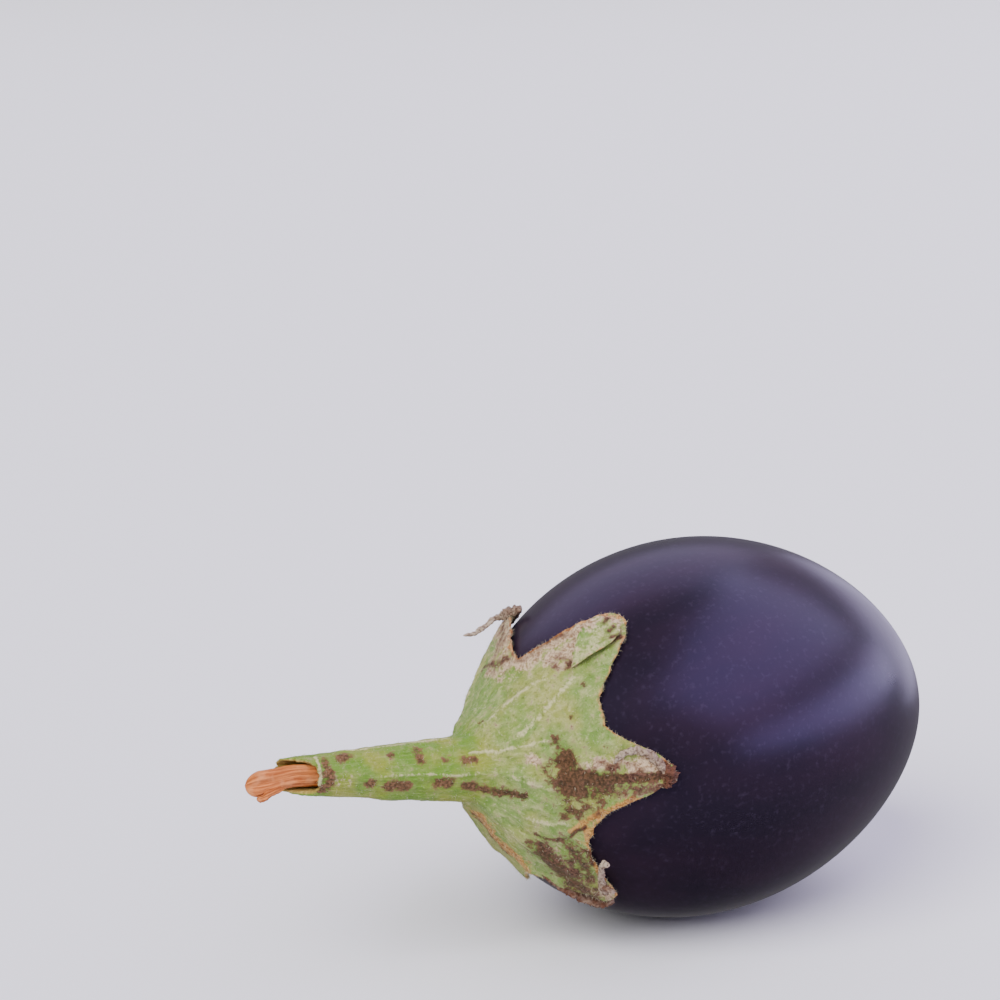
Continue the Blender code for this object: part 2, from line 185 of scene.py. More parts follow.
def egg_tree(sizes):
    """Turns a ball into the fruit: egg outline, uneven cross-section, slow waves, scar and flat spot."""
    tree, given, out = geometry_tree("egg_shape", sizes)
    ball = add_node(tree, "GeometryNodeMeshUVSphere", {"Segments": 300, "Rings": 200, "Radius": 1.0})
    at = add_node(tree, "ShaderNodeSeparateXYZ", {0: add_node(tree, "GeometryNodeInputPosition")}).outputs
    known = {"X": at["X"], "Y": at["Y"], "Z": at["Z"], "across": 1.0}
    known.update({name: given.outputs[name] for name in sizes})
    uneven = []
    for shape, count, _, _ in LOBES:
        uneven += [
            ("off", "Math", "SUBTRACT", "angle", shape + " Angle"),
            ("turns", "Math", "MULTIPLY", "off", count),
            ("wave", "Math", "COSINE", "turns"),
            ("across", "Math", "MULTIPLY_ADD", "wave", shape + " Share", "across"),
        ]
    for result, kind, does, *terms in (
        # result, kind of node, what it does, and its terms: numbers, or names of inputs and earlier results
        ("fuller", "Math", "MULTIPLY_ADD", "Z", "Stem Half Fuller", 1.0),
        ("squared", "Math", "MULTIPLY", "Z", "Z"),
        ("slimmed", "Math", "MULTIPLY", "squared", "Ends Slimmer"),
        ("outline", "Math", "SUBTRACT", "fuller", "slimmed"),
        ("angle", "Math", "ARCTAN2", "Y", "X"),
        *uneven,
        ("half", "Math", "MULTIPLY", "Diameter", 0.5),
        ("wide", "Math", "MULTIPLY", "outline", "across"),
        ("radius", "Math", "MULTIPLY", "wide", "half"),
        ("half length", "Math", "MULTIPLY", "Length", -0.5),
        ("x", "Math", "MULTIPLY", "half length", "Z"),
        ("minus y", "Math", "MULTIPLY", "radius", "X"),
        ("y", "Math", "MULTIPLY", "minus y", -1.0),
        ("z", "Math", "MULTIPLY", "radius", "Y"),
        ("flat", "CombineXYZ", None, 0.0, "y", "z"),
        ("from axis", "VectorMath", "LENGTH", "flat"),
        ("near end", "MapRange", "SMOOTHSTEP", "from axis", 0.0, "Dimple Radius", 1.0, 0.0),
        ("at blossom", "Math", "LESS_THAN", "Z", 0.0),
        ("dimple", "Math", "MULTIPLY", "near end", "at blossom"),
        ("dimpled", "Math", "MULTIPLY", "dimple", "Scar Depth"),
        ("nub", "MapRange", "SMOOTHSTEP", "from axis", 0.0, "Nub Radius", "Nub Share", 0.0),
        ("nubbed", "Math", "MULTIPLY", "nub", "dimpled"),
        ("sunk", "Math", "SUBTRACT", "dimpled", "nubbed"),
        ("end x", "Math", "SUBTRACT", "x", "sunk"),
        ("egg", "CombineXYZ", None, "end x", "y", "z"),
        ("placed", "VectorMath", "ADD", "egg", "Middle"),
    ):
        setting = {"Math": "operation", "VectorMath": "operation", "MapRange": "interpolation_type"}.get(kind)
        values = {i: known.get(term, term) for i, term in enumerate(terms)}
        known[result] = add_node(tree, "ShaderNode" + kind, values, **({setting: does} if setting else {}))
    placed = {"Geometry": ball.outputs["Mesh"], "Position": known["placed"]}
    shaped = add_node(tree, "GeometryNodeSetPosition", placed)
    slow = add_node(tree, "ShaderNodeTexNoise", {"Scale": known["Waves Per Metre"], "Detail": 1.0})
    signed = add_node(tree, "ShaderNodeMath", {0: slow, 1: 0.6}, operation="SUBTRACT")
    tall = add_node(tree, "ShaderNodeMath", {0: signed, 1: known["Wave"]}, operation="MULTIPLY")
    normal = add_node(tree, "GeometryNodeInputNormal")
    pushed = add_node(tree, "ShaderNodeVectorMath", {0: normal, "Scale": tall}, operation="SCALE")
    waved = add_node(tree, "GeometryNodeSetPosition", {"Geometry": shaped, "Offset": pushed})
    low = add_node(tree, "ShaderNodeSeparateXYZ", {0: add_node(tree, "GeometryNodeInputPosition")}).outputs
    rested = add_node(tree, "ShaderNodeMath", {0: low["Z"], 1: known["Table Gap"]}, operation="MAXIMUM")
    on_table = add_node(tree, "ShaderNodeCombineXYZ", {0: low["X"], 1: low["Y"], 2: rested})
    pressed = add_node(tree, "GeometryNodeSetPosition", {"Geometry": waved, "Position": on_table})
    smooth_shaded = add_node(tree, "GeometryNodeSetShadeSmooth", {"Geometry": pressed})
    real = add_node(tree, "GeometryNodeRealizeInstances", {"Geometry": smooth_shaded})
    skinned = add_node(tree, "GeometryNodeSetMaterial", {"Geometry": real, "Material": known["Skin"]})
    tree.links.new(skinned.outputs[0], out.inputs[0])
    return tree


egg_sizes = {
    "Length": FRUIT_LENGTH * MM, "Diameter": FRUIT_DIAMETER * MM, "Middle": tuple(FRUIT_MIDDLE * MM),
    "Stem Half Fuller": STEM_HALF_FULLER, "Ends Slimmer": ENDS_SLIMMER,
    **{shape + " Share": share for shape, _, share, _ in LOBES},
    **{shape + " Angle": angle for shape, _, _, angle in LOBES},
    "Wave": SKIN_WAVE * MM, "Waves Per Metre": SKIN_WAVES_PER_M, "Table Gap": TABLE_GAP * MM,
    "Scar Depth": SCAR_DEPTH * MM, "Dimple Radius": DIMPLE_RADIUS * MM,
    "Nub Share": NUB_SHARE, "Nub Radius": NUB_RADIUS * MM, "Skin": waxy_eggplant_skin(),
}
fruit = grown("fruit_skin", bpy.data.meshes.new("empty_start"), egg_tree(egg_sizes), egg_sizes)
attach(fruit, "root")
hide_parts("fruit")


# CALYX AND STEM
# Green, slightly woolly tissue, grown together: a ribbed stalk that flares into a cap of six pointed sepals.
# They hug the fruit, their tips and edges dried brown and tan, and brown cork spots sit on the ribs. The bark
# is torn off at a slant, round a socket with an olive-yellow inside.
SEPALS = (
    # tip angle, tip reach, hollow before, notch angle, notch reach, hollow after, tip lift
    (10, 45.2, 1.60, 34, 32.7, 1.25, 0.6),
    (68, 47.5, 1.35, 92, 26.2, 0.90, 0.8),
    (136, 43.0, 1.10, 161, 29.0, 1.10, 1.0),
    (190, 45.5, 1.20, 219, 30.0, 1.20, 0.9),
    (247, 38.5, 1.20, 281, 25.5, 1.10, 0.2),
    (307, 40.5, 1.00, 342, 28.8, 1.75, 0.9),
)
FIT_GAP = 0.3
COLLAR_RADIUS, COLLAR_HEIGHT, COLLAR_FADE = 8.1, 4.0, 5.0
SEAT_SHIFT = np.array([0, 1.0, 2.3])
CAP_THICKNESS, MARGIN_THICKNESS, MARGIN_LIFT = 1.0, 0.7, 0.5
RIB_HEIGHT, RIB_WIDTH = 0.8, 1.9
STEM_DIAMETERS = (
    # distance down the stem, diameter
    (0, 16.2), (2, 15.0), (6, 14.1), (12, 13.1), (18, 12.2), (22, 11.3), (30, 10.0), (36, 9.0), (46, 7.4),
)
STEM_LEAN, STEM_RISE, STEM_LEAN_BY = math.radians(14), math.radians(4.5), 6.0
KNUCKLE_HEIGHT, KNUCKLE_AT, KNUCKLE_LENGTH, KNUCKLE_ANGLE = 0.45, 20.5, 2.6, -1.25
PATH_LENGTH, PATH_STEP, PATH_STEPS, PATH_SPARE = 56, 0.1, 560, 60
BARK_LENGTH, BARK_NEAR_LONGER, BARK_TONGUE = 34.0, 2.0, 9.5
TEAR_RAGGED, TEAR_FRINGED, CURL_HEIGHT, CURL_WIDTH = 0.5, 0.3, 0.35, 0.7
SOCKET_DEPTH, SOCKET_RADIUS = 9.0, 3.2
FILLET_FROM, FILLET_TO, FILLET_PULL = 2.4, 10.5, 0.36
GRAIN_GIRTH, GRAIN_STRETCH, LEAST_GIRTH = 8, 5, 6.2
BUMP_HEIGHT, FINE_BUMP_HEIGHT, GRAIN_HEIGHT, DRY_HEIGHT = 0.16, 0.07, 0.1, 0.3
SCAR_RAISED, CORK_SUNK = 0.3, 0.12
BARK_TO, BARK_BLEND, EDGE_WIDTH = 13, 18, 0.8
LEAF_PATCH, LEAF_LUMP, LEAF_GRAIN, LEAF_STREAK = 9.09, 2.381, 0.6667, 0.625
MARGIN_CIRCLE, MARGIN_RAGGED, MARGIN_FRINGED, MARGIN_ROUNDING = 30, 0.45, 0.25, 0.22
SURFACE_COLUMNS, SOCKET_ROWS, BARK_ROWS = 384, 12, 90
FILLET_ROWS, BLADE_ROWS, UNDER_ROWS = 16, 84, 9


def smooth(share):
    share = np.clip(share, 0, 1)
    return share * share * (3 - 2 * share)


def mean_radius(polar):
    along = np.cos(polar)
    return FRUIT_DIAMETER / 2 * np.sin(polar) * (1 + STEM_HALF_FULLER * along - ENDS_SLIMMER * along**2)


def egg_point(polar, angle):
    """Points of the fruit's skin, in millimetres from the fruit's middle."""
    across = 1
    for _, count, share, first_angle in LOBES:
        across = across + share * np.cos(count * (angle - first_angle))
    radius = mean_radius(polar) * across
    return np.stack([-FRUIT_LENGTH / 2 * np.cos(polar), -radius * np.cos(angle), radius * np.sin(angle)], -1)


polars = np.linspace(0, math.pi, 721)
meridian = np.stack([-FRUIT_LENGTH / 2 * np.cos(polars), mean_radius(polars)], -1)
meridian_reach = np.concatenate([[0], np.cumsum(np.linalg.norm(np.diff(meridian, axis=0), axis=1))])


def unit(vectors):
    return vectors / np.linalg.norm(vectors, axis=-1, keepdims=True)


def over_skin(reach, angle, height):
    """Points at this reach from the stem's pole, angle round the fruit, and height over its skin."""
    reach, angle, height = np.broadcast_arrays(np.asarray(reach, float), angle, height)
    polar = np.maximum(np.interp(reach, meridian_reach, polars), 2e-4)
    along = egg_point(polar + 1e-4, angle) - egg_point(polar - 1e-4, angle)
    around = egg_point(polar, angle + 1e-4) - egg_point(polar, angle - 1e-4)
    return FRUIT_MIDDLE + egg_point(polar, angle) + unit(np.cross(along, around)) * height[..., None]


def noise_at(points, size, seed, detail=3):
    """Smooth noise between about -1 and 1 at each point, with lumps of this size in millimetres."""
    flat = points.reshape(-1, 3) / size + seed * 17.3
    found = [noise.fractal(Vector(p), 0.9, 2.1, detail) for p in flat]
    return np.clip(np.array(found).reshape(points.shape[:-1]) * 1.3, -1, 1)


def sepal_edges(angle):
    """For each angle: the calyx's reach, how near a sepal's tip is, its lift there, and that tip's angle."""
    degrees = np.degrees(angle) % 360
    reach, to_tip, lift, tip_angle = (np.zeros_like(degrees) for _ in range(4))
    for i, (tip, tip_reach, hollow_before, notch, notch_reach, hollow_after, tip_lift) in enumerate(SEPALS):
        notch_before = SEPALS[i - 1][3] - (360 if i == 0 else 0)
        from_notch = (degrees - notch_before) % 360
        rising = from_notch < tip - notch_before
        falling = ~rising & (from_notch < notch - notch_before)
        climbed = from_notch / (tip - notch_before)
        left = (notch - notch_before - from_notch) / (notch - tip)
        for side, share, hollow, low in (
            (rising, climbed, hollow_before, SEPALS[i - 1][4]),
            (falling, left, hollow_after, notch_reach),
        ):
            near = np.clip(share, 0, 1)
            reach = np.where(side, low + (tip_reach - low) * smooth(near**hollow), reach)
            to_tip = np.where(side, near, to_tip)
            lift = np.where(side, tip_lift, lift)
            tip_angle = np.where(side, math.radians(tip), tip_angle)
    return reach, to_tip, lift, tip_angle


def collar(reach):
    return COLLAR_HEIGHT * np.exp(-np.maximum(0, reach - COLLAR_RADIUS) / COLLAR_FADE)


column_angle = np.linspace(0, math.tau, SURFACE_COLUMNS, endpoint=False)
margin_reach, nearness, tip_lift, tip_angle = sepal_edges(column_angle)
on_circle = np.stack([np.cos(column_angle), np.sin(column_angle), 0 * column_angle], -1) * MARGIN_CIRCLE
margin_reach = margin_reach + MARGIN_RAGGED * noise_at(on_circle, 2.6, 1)
margin_reach = margin_reach + MARGIN_FRINGED * noise_at(on_circle, 0.9, 2)


def blade_height(reach, share, outside):
    """Height of the sepals' outer or inner face over the skin."""
    lifted = MARGIN_LIFT * smooth((share - 0.7) / 0.3) * (1 + 0.6 * noise_at(on_circle, 4, 3))
    lifted = lifted + tip_lift * smooth((share - 0.6) / 0.4) * nearness**2
    height = FIT_GAP + lifted
    if outside:
        off_rib = reach * np.sin(column_angle - tip_angle)
        rib = RIB_HEIGHT * np.exp(-((off_rib / RIB_WIDTH) ** 2)) * np.clip(1.05 - share, 0, 1)
        height = height + CAP_THICKNESS + (MARGIN_THICKNESS - CAP_THICKNESS) * share + collar(reach) + rib
    return height


def cap_point(reach, share):
    """A ring of the calyx's outer face."""
    moved = SEAT_SHIFT * (collar(reach) / COLLAR_HEIGHT)[..., None]
    return over_skin(reach, column_angle, blade_height(reach, share, True)) + moved


seat_ring = over_skin(COLLAR_RADIUS, column_angle, FIT_GAP + 0.05 + CAP_THICKNESS + COLLAR_HEIGHT)
stem_start = np.array([seat_ring[:, 0].mean(), STEM_POLE[1] + SEAT_SHIFT[1], STEM_POLE[2] + SEAT_SHIFT[2]])
path_steps = np.linspace(0, PATH_LENGTH, PATH_STEPS + 1)
turned = smooth(path_steps / STEM_LEAN_BY)
path_ahead = np.stack([
    -np.cos(STEM_LEAN * turned) * np.cos(STEM_RISE * turned),
    np.sin(STEM_LEAN * turned) * np.cos(STEM_RISE * turned),
    np.sin(STEM_RISE * turned),
], -1)
path_centre = stem_start + np.concatenate([[[0, 0, 0]], np.cumsum(path_ahead[:-1] * PATH_STEP, axis=0)])
spare = PATH_SPARE * PATH_STEP
longer_path = np.linspace(-spare, PATH_LENGTH + spare, PATH_STEPS + 2 * PATH_SPARE + 1)
rough_diameter = np.interp(longer_path, *np.array(STEM_DIAMETERS).T)
bell = np.exp(-(np.linspace(-2, 2, 41) ** 2))
smooth_diameter = np.convolve(rough_diameter, bell / bell.sum(), mode="same")[PATH_SPARE:-PATH_SPARE]


def along_stem(distance, values):
    return np.stack([np.interp(distance, path_steps, values[:, i]) for i in range(3)], -1)


def stem_axes(distance):
    """Directions across the stem at each distance: toward its near side, and up."""
    ahead = unit(along_stem(distance, path_ahead))
    near = unit(np.cross(np.array([0, 0, 1.0]), ahead))
    return near, np.cross(ahead, near)


def stem_point(distance, angle, radius):
    """Points round the stem's middle line."""
    near, up = stem_axes(distance)
    out = near * np.cos(angle)[..., None] + up * np.sin(angle)[..., None]
    return along_stem(distance, path_centre) + out * np.asarray(radius)[..., None]


def stem_radius(distance, angle):
    """Half the stem's thickness, with a rib in line with each sepal, a fainter one between, and a knuckle."""
    ribs = sum(np.exp(-((np.sin((angle - math.radians(s[0])) / 2) / 0.13) ** 2)) for s in SEPALS)
    between = sum(np.exp(-((np.sin((angle - math.radians(s[3])) / 2) / 0.08) ** 2)) for s in SEPALS)
    girth = np.interp(distance, path_steps, smooth_diameter) / 2
    knuckle = KNUCKLE_HEIGHT * np.exp(-(((distance - KNUCKLE_AT) / KNUCKLE_LENGTH) ** 2))
    knuckle = knuckle * np.clip(np.cos(angle - KNUCKLE_ANGLE), 0, 1)
    return girth * (1 + 0.05 * (ribs - 0.5) + 0.02 * between) + knuckle


near_side = np.clip(np.cos(column_angle), 0, 1)
bark_end = BARK_LENGTH + BARK_NEAR_LONGER * near_side + BARK_TONGUE * smooth(0.7 * (1 - np.cos(column_angle)))
bark_end = bark_end + TEAR_RAGGED * noise_at(on_circle, 8, 4) + TEAR_FRINGED * noise_at(on_circle, 2.5, 5)


def ring_of_bark(distance, inward=0.0, flare=0.0):
    """A ring of the stem's outer face, or of the face inside its torn end."""
    radius = stem_radius(distance, column_angle) * (1 - inward) + SOCKET_RADIUS * inward + flare
    return stem_point(distance, column_angle, radius)


rings, places = [], []


def add_ring(points, along, inside=0.0):
    """Keeps a ring, with how far along the plant it is: the reach, or minus the distance down the stem."""
    rings.append(points)
    along, inside = (np.broadcast_to(value, column_angle.shape) for value in (along, inside))
    places.append(np.stack([along, column_angle, inside], -1))


socket_floor = BARK_LENGTH - SOCKET_DEPTH
for share in np.linspace(0, 1, SOCKET_ROWS):
    deep = socket_floor + (bark_end - 0.25 - socket_floor) * share
    add_ring(ring_of_bark(deep, 1.0 - 0.12 * share**6, 0.25 * near_side * share**6), -deep, 1.0)
add_ring(ring_of_bark(bark_end + 0.12, 0.55, 0.3 * near_side), -bark_end, 0.8)
for share in np.linspace(1, 0, BARK_ROWS):
    distance = FILLET_FROM + (bark_end - FILLET_FROM) * share
    curled = CURL_HEIGHT * near_side * np.exp(-((bark_end - distance) / CURL_WIDTH) ** 2)
    add_ring(ring_of_bark(distance, 0.18 * np.exp(-((bark_end - distance) / 0.25)), curled), -distance, 0.0)
fillet_reach = np.full(SURFACE_COLUMNS, FILLET_TO)
cap_share = (FILLET_TO - COLLAR_RADIUS) / (margin_reach - COLLAR_RADIUS)
start, finish = rings[-1], cap_point(fillet_reach, cap_share)
into = unit(start - rings[-2])
onward = unit(cap_point(fillet_reach + 0.4, cap_share) - finish)
span = np.linalg.norm(finish - start, axis=1, keepdims=True)
for t in np.linspace(0, 1, FILLET_ROWS)[1:-1]:
    bend = (1 - t) ** 3 * start + t**3 * finish
    bend = bend + 3 * t * (1 - t) ** 2 * (start + into * span * FILLET_PULL)
    bend = bend + 3 * t**2 * (1 - t) * (finish - onward * span * FILLET_PULL)
    add_ring(bend, -FILLET_FROM + (FILLET_TO + FILLET_FROM) * t)
for share in np.linspace(0, 1, BLADE_ROWS):
    reach = FILLET_TO + (margin_reach - FILLET_TO) * share
    whole = (reach - COLLAR_RADIUS) / (margin_reach - COLLAR_RADIUS)
    add_ring(cap_point(reach, whole), reach)
edge_height = blade_height(margin_reach, np.ones(SURFACE_COLUMNS), False)
for part in (0.7, 0.3):
    edge = over_skin(margin_reach + MARGIN_ROUNDING, column_angle, edge_height + MARGIN_THICKNESS * part)
    add_ring(edge, margin_reach)
for share in np.linspace(1, 0.3, UNDER_ROWS):
    reach = margin_reach * share
    under = blade_height(reach, np.full(SURFACE_COLUMNS, share), False)
    add_ring(over_skin(reach, column_angle, under), reach)
tissue_points = np.array(rings)
tissue_places = np.array(places)

# Where the tissue has changed: strokes of a strength, a half width, and places (reach or minus the distance
# down the stem, angle), in mm and degrees.
DRY_TAN = (
    (0.95, 5.0, (31, 112), (36, 122), (42, 133)), (0.8, 3.6, (24, 98), (27, 104), (30, 108)),
    (0.7, 2.5, (23, 116), (27, 120)), (1.0, 5.0, (40, 190), (46, 189)), (0.8, 5.0, (34, 247), (39, 247)),
    (0.95, 3.0, (26, 89), (30, 84), (35, 80), (41, 75)), (0.9, 2.6, (30.5, 76), (33, 71), (35.5, 72)),
    (0.7, 2.0, (30.5, 69.5), (32.5, 66)), (0.7, 1.2, (44.5, 74), (46, 69), (45.6, 64)),
    (0.95, 2.3, (36, 12), (39, 14), (42, 12)), (0.6, 2.2, (33, 3), (38, 3), (42, 5)),
    (0.7, 1.6, (27, 16), (31, 15.5), (35, 16)), (0.5, 3.4, (24, -42), (29, -50), (35, -57), (40, -58)),
    (0.7, 2.2, (36, -47), (40, -55)), (0.8, 1.2, (15.8, 24.5), (16.3, 23)), (0.55, 1.2, (44, 46), (45, 60)),
    (0.6, 1.0, (22.2, 56), (22.6, 56)), (0.5, 1.6, (12, 170), (20, 185)), (0.5, 2.2, (-31.5, 0), (-33.5, 5)),
)
CORK_BROWN = (
    (0.7, 1.8, (21.5, 32), (22.4, 27), (22.8, 22)), (1.5, 2.5, (22.6, 20), (22.7, 12), (22.5, 5)),
    (0.8, 2.0, (22.3, 2), (22.2, -4), (22.8, -13)), (0.6, 2.2, (18.8, 15), (19.5, 9.5), (21, 4)),
    (1.5, 2.0, (24, 11), (27, 9.8), (30, 9)), (1.5, 1.1, (30, 9), (34.7, 9.5), (38.2, 9), (42, 9)),
    (0.95, 1.6, (42.8, 11.5), (44, 9.5), (43.2, 6.5)), (0.85, 2.8, (24.8, 3), (28.4, 2), (32, 3)),
    (0.7, 2.6, (25.2, -9), (26.8, -4.5), (30, -1)), (0.75, 2.2, (34, 4), (40, 4.5)),
    (0.42, 4.5, (22.5, 20), (22.5, -2)), (0.55, 2.0, (31.5, 14), (36, 13.5)),
    (0.9, 0.6, (18.1, -40), (19.9, -38), (21.6, -35.5), (23.7, -32), (24.6, -28), (25.7, -20.5), (27.2, -17)),
    (0.9, 1.9, (19.4, -51), (20.9, -50), (24.2, -54)),
    (0.95, 3.8, (22, -50), (26, -53), (31, -58), (36, -61), (39, -61)),
    (0.78, 3.0, (25.5, -33), (28.5, -38), (31.5, -45), (35, -52)),
    (0.8, 3.2, (27, -44), (30, -48), (32.5, -56)), (0.8, 1.3, (29.5, -31), (31.5, -38)),
    (0.6, 1.4, (10.5, -99), (15.5, -97), (20, -91)), (0.75, 1.4, (37, -58), (40, -57)),
    (0.8, 1.3, (25.6, 126), (24, 108), (26.5, 100)), (0.6, 2.6, (29, 113), (35, 122), (40, 130)),
    (0.5, 2.0, (24, 119), (30, 118)), (0.5, 1.7, (26, 91), (31, 83.5), (36.5, 79)),
    (0.75, 1.1, (31.6, 70), (32.6, 66), (31.5, 64)), (0.5, 1.6, (29.5, 69), (32, 74)),
    (0.9, 0.7, (44.6, 70), (43.4, 69)), (0.9, 0.8, (44.6, 65.5), (43, 65)),
    (0.85, 0.6, (44.4, 61.5), (42.5, 62)), (0.9, 0.7, (26.6, 41.5), (26.9, 41.3)),
    (0.6, 0.6, (31.4, 23.5), (31.8, 23)), (0.6, 0.7, (32.2, 52.6), (32.5, 52)),
    (0.9, 0.55, (7.8, 84), (9, 82), (10.4, 80)), (0.7, 1.0, (22.2, -35.6), (22.5, -35)),
    (0.95, 1.3, (-25.1, -8), (-24.3, -8)), (1.1, 1.5, (-21.0, -14), (-17.0, -13)),
    (1.1, 1.4, (-10.0, -5), (-7.2, -9)),
    (1.0, 1.0, (-4.4, -14), (-0.5, -22), (7.8, -16), (10.8, -10.5), (13.5, -9)),
    (0.8, 1.2, (10.5, -11), (13.8, -9)), (1.05, 1.9, (-30.6, 62), (-30.2, 66)),
    (0.95, 1.5, (-14, 60), (-13.6, 38)), (0.75, 0.9, (-19.9, 56), (-19.5, 56)),
    (1.1, 1.1, (-4.2, 35), (-1.8, 30)), (0.7, 1.0, (-8.2, 35), (-7.4, 35)),
    (0.8, 1.2, (-34.8, 60), (-34.4, 30)), (1.1, 1.5, (-34.2, 22), (-34.0, -8), (-35.2, -30)),
    (0.9, 1.1, (-18, 128), (-15, 130)), (0.8, 1.1, (-27, 165), (-24.5, 165)),
    (0.9, 1.2, (-10, -124), (-7, -122)), (0.8, 1.1, (-22, -98), (-20, -98)),
    (0.7, 0.9, (-13, 172), (-11, 173)), (0.7, 2.2, (28, 190), (36, 190), (42, 190)),
    (0.6, 2.0, (27, 205), (27.5, 214)), (0.6, 2.0, (26, 176), (24, 185)), (0.65, 2.0, (24, 240), (30, 246)),
)
PALE_SCAR = (
    (0.6, 0.5, (-3, 44), (2, 40), (8.3, 35), (12.2, 36.5), (14.8, 35.5), (18.6, 35.5), (20.8, 33)),
    (0.6, 0.9, (15, 45.5), (19.3, 50), (26.4, 55.5), (31, 58)),
    (0.55, 0.9, (9.7, 77), (15.4, 76), (21.2, 72.5), (26.4, 68)), (0.6, 0.8, (-30, 90), (-18, 86), (-6, 88)),
    (0.5, 0.8, (14, -30), (20, -24), (25, -12)), (0.5, 0.8, (12, 8), (17, 4), (21, 2)),
    (0.5, 0.8, (10, 130), (20, 134), (28, 134)), (0.5, 0.8, (10, 190), (26, 190)),
    (0.5, 0.8, (10, 247), (26, 247)), (0.45, 0.9, (10, 300), (22, 306)),
    (0.5, 0.5, (-23, 8), (-18, 11), (-12, 11), (-6, 7), (-1, 9)),
    (1.1, 0.35, (-36.4, 75), (-36.1, 45), (-35.9, 10), (-36.2, -20), (-37.4, -50)),
)
ORANGE_EDGE = (
    (0.9, 1.0, (27, 92.5), (29.5, 87.5), (33.4, 83.5), (37.1, 80), (40.9, 77.5), (44, 74.5)),
    (0.7, 0.8, (44.5, 73), (46.4, 69)),
    (0.95, 1.3, (24.5, -22), (27.2, -12), (29.6, -7), (33.4, -2), (36.4, 1.5)),
    (0.7, 1.5, (30, 0), (33, 2.5), (36, 3.5)),
    (0.9, 1.1, (27.2, -17), (29.5, -25), (32.1, -35.5), (34.6, -43)), (0.5, 1.5, (27, -28), (28.5, -36)),
    (0.8, 1.2, (11.3, -109), (11, -92), (11.5, -70)),
    (1.3, 3.0, (9.3, -88), (11.3, -90), (15.6, -89), (19.5, -83.5), (21.9, -79)),
    (0.7, 1.4, (29, 104), (27, 98)), (0.6, 0.9, (37, 118), (40, 124)),
    (0.6, 1.0, (25, 160), (29, 161), (31, 168)), (0.6, 1.0, (29, 219), (31, 212)),
    (0.6, 1.1, (-33.5, -20), (-33.5, 25)), (0.5, 0.8, (22, 55), (22.6, 56)),
)


def painted(strokes, along, angle):
    """How strongly strokes cover each place, from 0 to about 1."""
    girth = np.maximum(mean_radius(np.interp(np.maximum(along, 0), meridian_reach, polars)), LEAST_GIRTH)
    total = np.zeros_like(along)
    for strength, width, *places_on_line in strokes:
        for (a, b), (c, d) in zip(places_on_line, places_on_line[1:]):
            girth_here = max(np.interp(max(a, 0), meridian_reach, meridian[:, 1]), LEAST_GIRTH)
            length = math.hypot(c - a, math.radians(d - b) * girth_here)
            steps = max(2, int(length / (0.6 * width)) + 1)
            for t in np.linspace(0, 1, steps):
                off = (angle - math.radians(b + (d - b) * t) + math.pi) % math.tau - math.pi
                gap = (along - a - (c - a) * t) ** 2 + (off * girth) ** 2
                total = np.maximum(total, strength * np.exp(-gap / width**2))
    return total


def tissue_marks(along, around):
    """How dry, brown, scarred and orange the tissue is at each place."""
    return [painted(strokes, along, around) for strokes in (DRY_TAN, CORK_BROWN, PALE_SCAR, ORANGE_EDGE)]


def grain_at(turns, girth, lengthways):
    """Places on a straight stretched tube, for a grain that runs along a piece."""
    return np.stack(np.broadcast_arrays(girth * np.cos(turns), girth * np.sin(turns), lengthways), -1)


along, around, inside = np.moveaxis(tissue_places, -1, 0)
marks = tissue_marks(along, around)
dry, brown, pale, _ = marks
neighbours = np.roll(tissue_points, 1, axis=1) - np.roll(tissue_points, -1, axis=1)
outward = -unit(np.cross(np.gradient(tissue_points, axis=0), neighbours) + 1e-12)
tissue_grain = grain_at(around, GRAIN_GIRTH, along / GRAIN_STRETCH)
relief = BUMP_HEIGHT * noise_at(tissue_points, 5, 6) + FINE_BUMP_HEIGHT * noise_at(tissue_points, 1.4, 7)
relief = relief + GRAIN_HEIGHT * noise_at(tissue_grain, 1.1, 8)
relief = relief + DRY_HEIGHT * dry * noise_at(tissue_points, 2.0, 9)
relief = relief + SCAR_RAISED * pale - CORK_SUNK * brown
hidden = np.arange(len(rings)) > len(rings) - UNDER_ROWS - 3
relief = relief * np.where(inside > 0.5, 0.3, 1.0) * np.where(hidden, 0.2, 1.0)[:, None]
tissue_points = tissue_points + outward * relief[..., None]


def closed_loft(name, ring_points, first_tip, last_tip):
    """A closed mesh through rings of points in millimetres, drawn to a point at both ends, faces outwards."""
    rows, columns = ring_points.shape[:2]
    vertices = np.concatenate([ring_points.reshape(-1, 3), [first_tip, last_tip]]) * MM
    first, last = rows * columns, rows * columns + 1
    a = np.arange(columns)
    b = (a + 1) % columns
    faces = []
    for row in range(rows - 1):
        low, high = row * columns, (row + 1) * columns
        faces += np.stack([low + a, low + b, high + b, high + a], -1).tolist()
    faces += [(first, j, i) for i, j in zip(a.tolist(), b.tolist())]
    end = (rows - 1) * columns
    faces += [(end + i, end + j, last) for i, j in zip(a.tolist(), b.tolist())]
    mesh = bpy.data.meshes.new(name)
    mesh.from_pydata(vertices.tolist(), [], faces)
    if sum(f.center.dot(f.normal) * f.area for f in mesh.polygons) < 0:
        mesh.flip_normals()
    mesh.shade_smooth()
    return mesh


def new_piece(name, mesh, material, slot, *nodes):
    """Puts a finished mesh in the scene, riding on the fruit's body."""
    obj = bpy.data.objects.new(name, mesh)
    bpy.context.scene.collection.objects.link(obj)
    mesh.materials.clear()
    mesh.materials.append(material)
    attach(obj, "root")
    if nodes:
        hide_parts(*nodes)


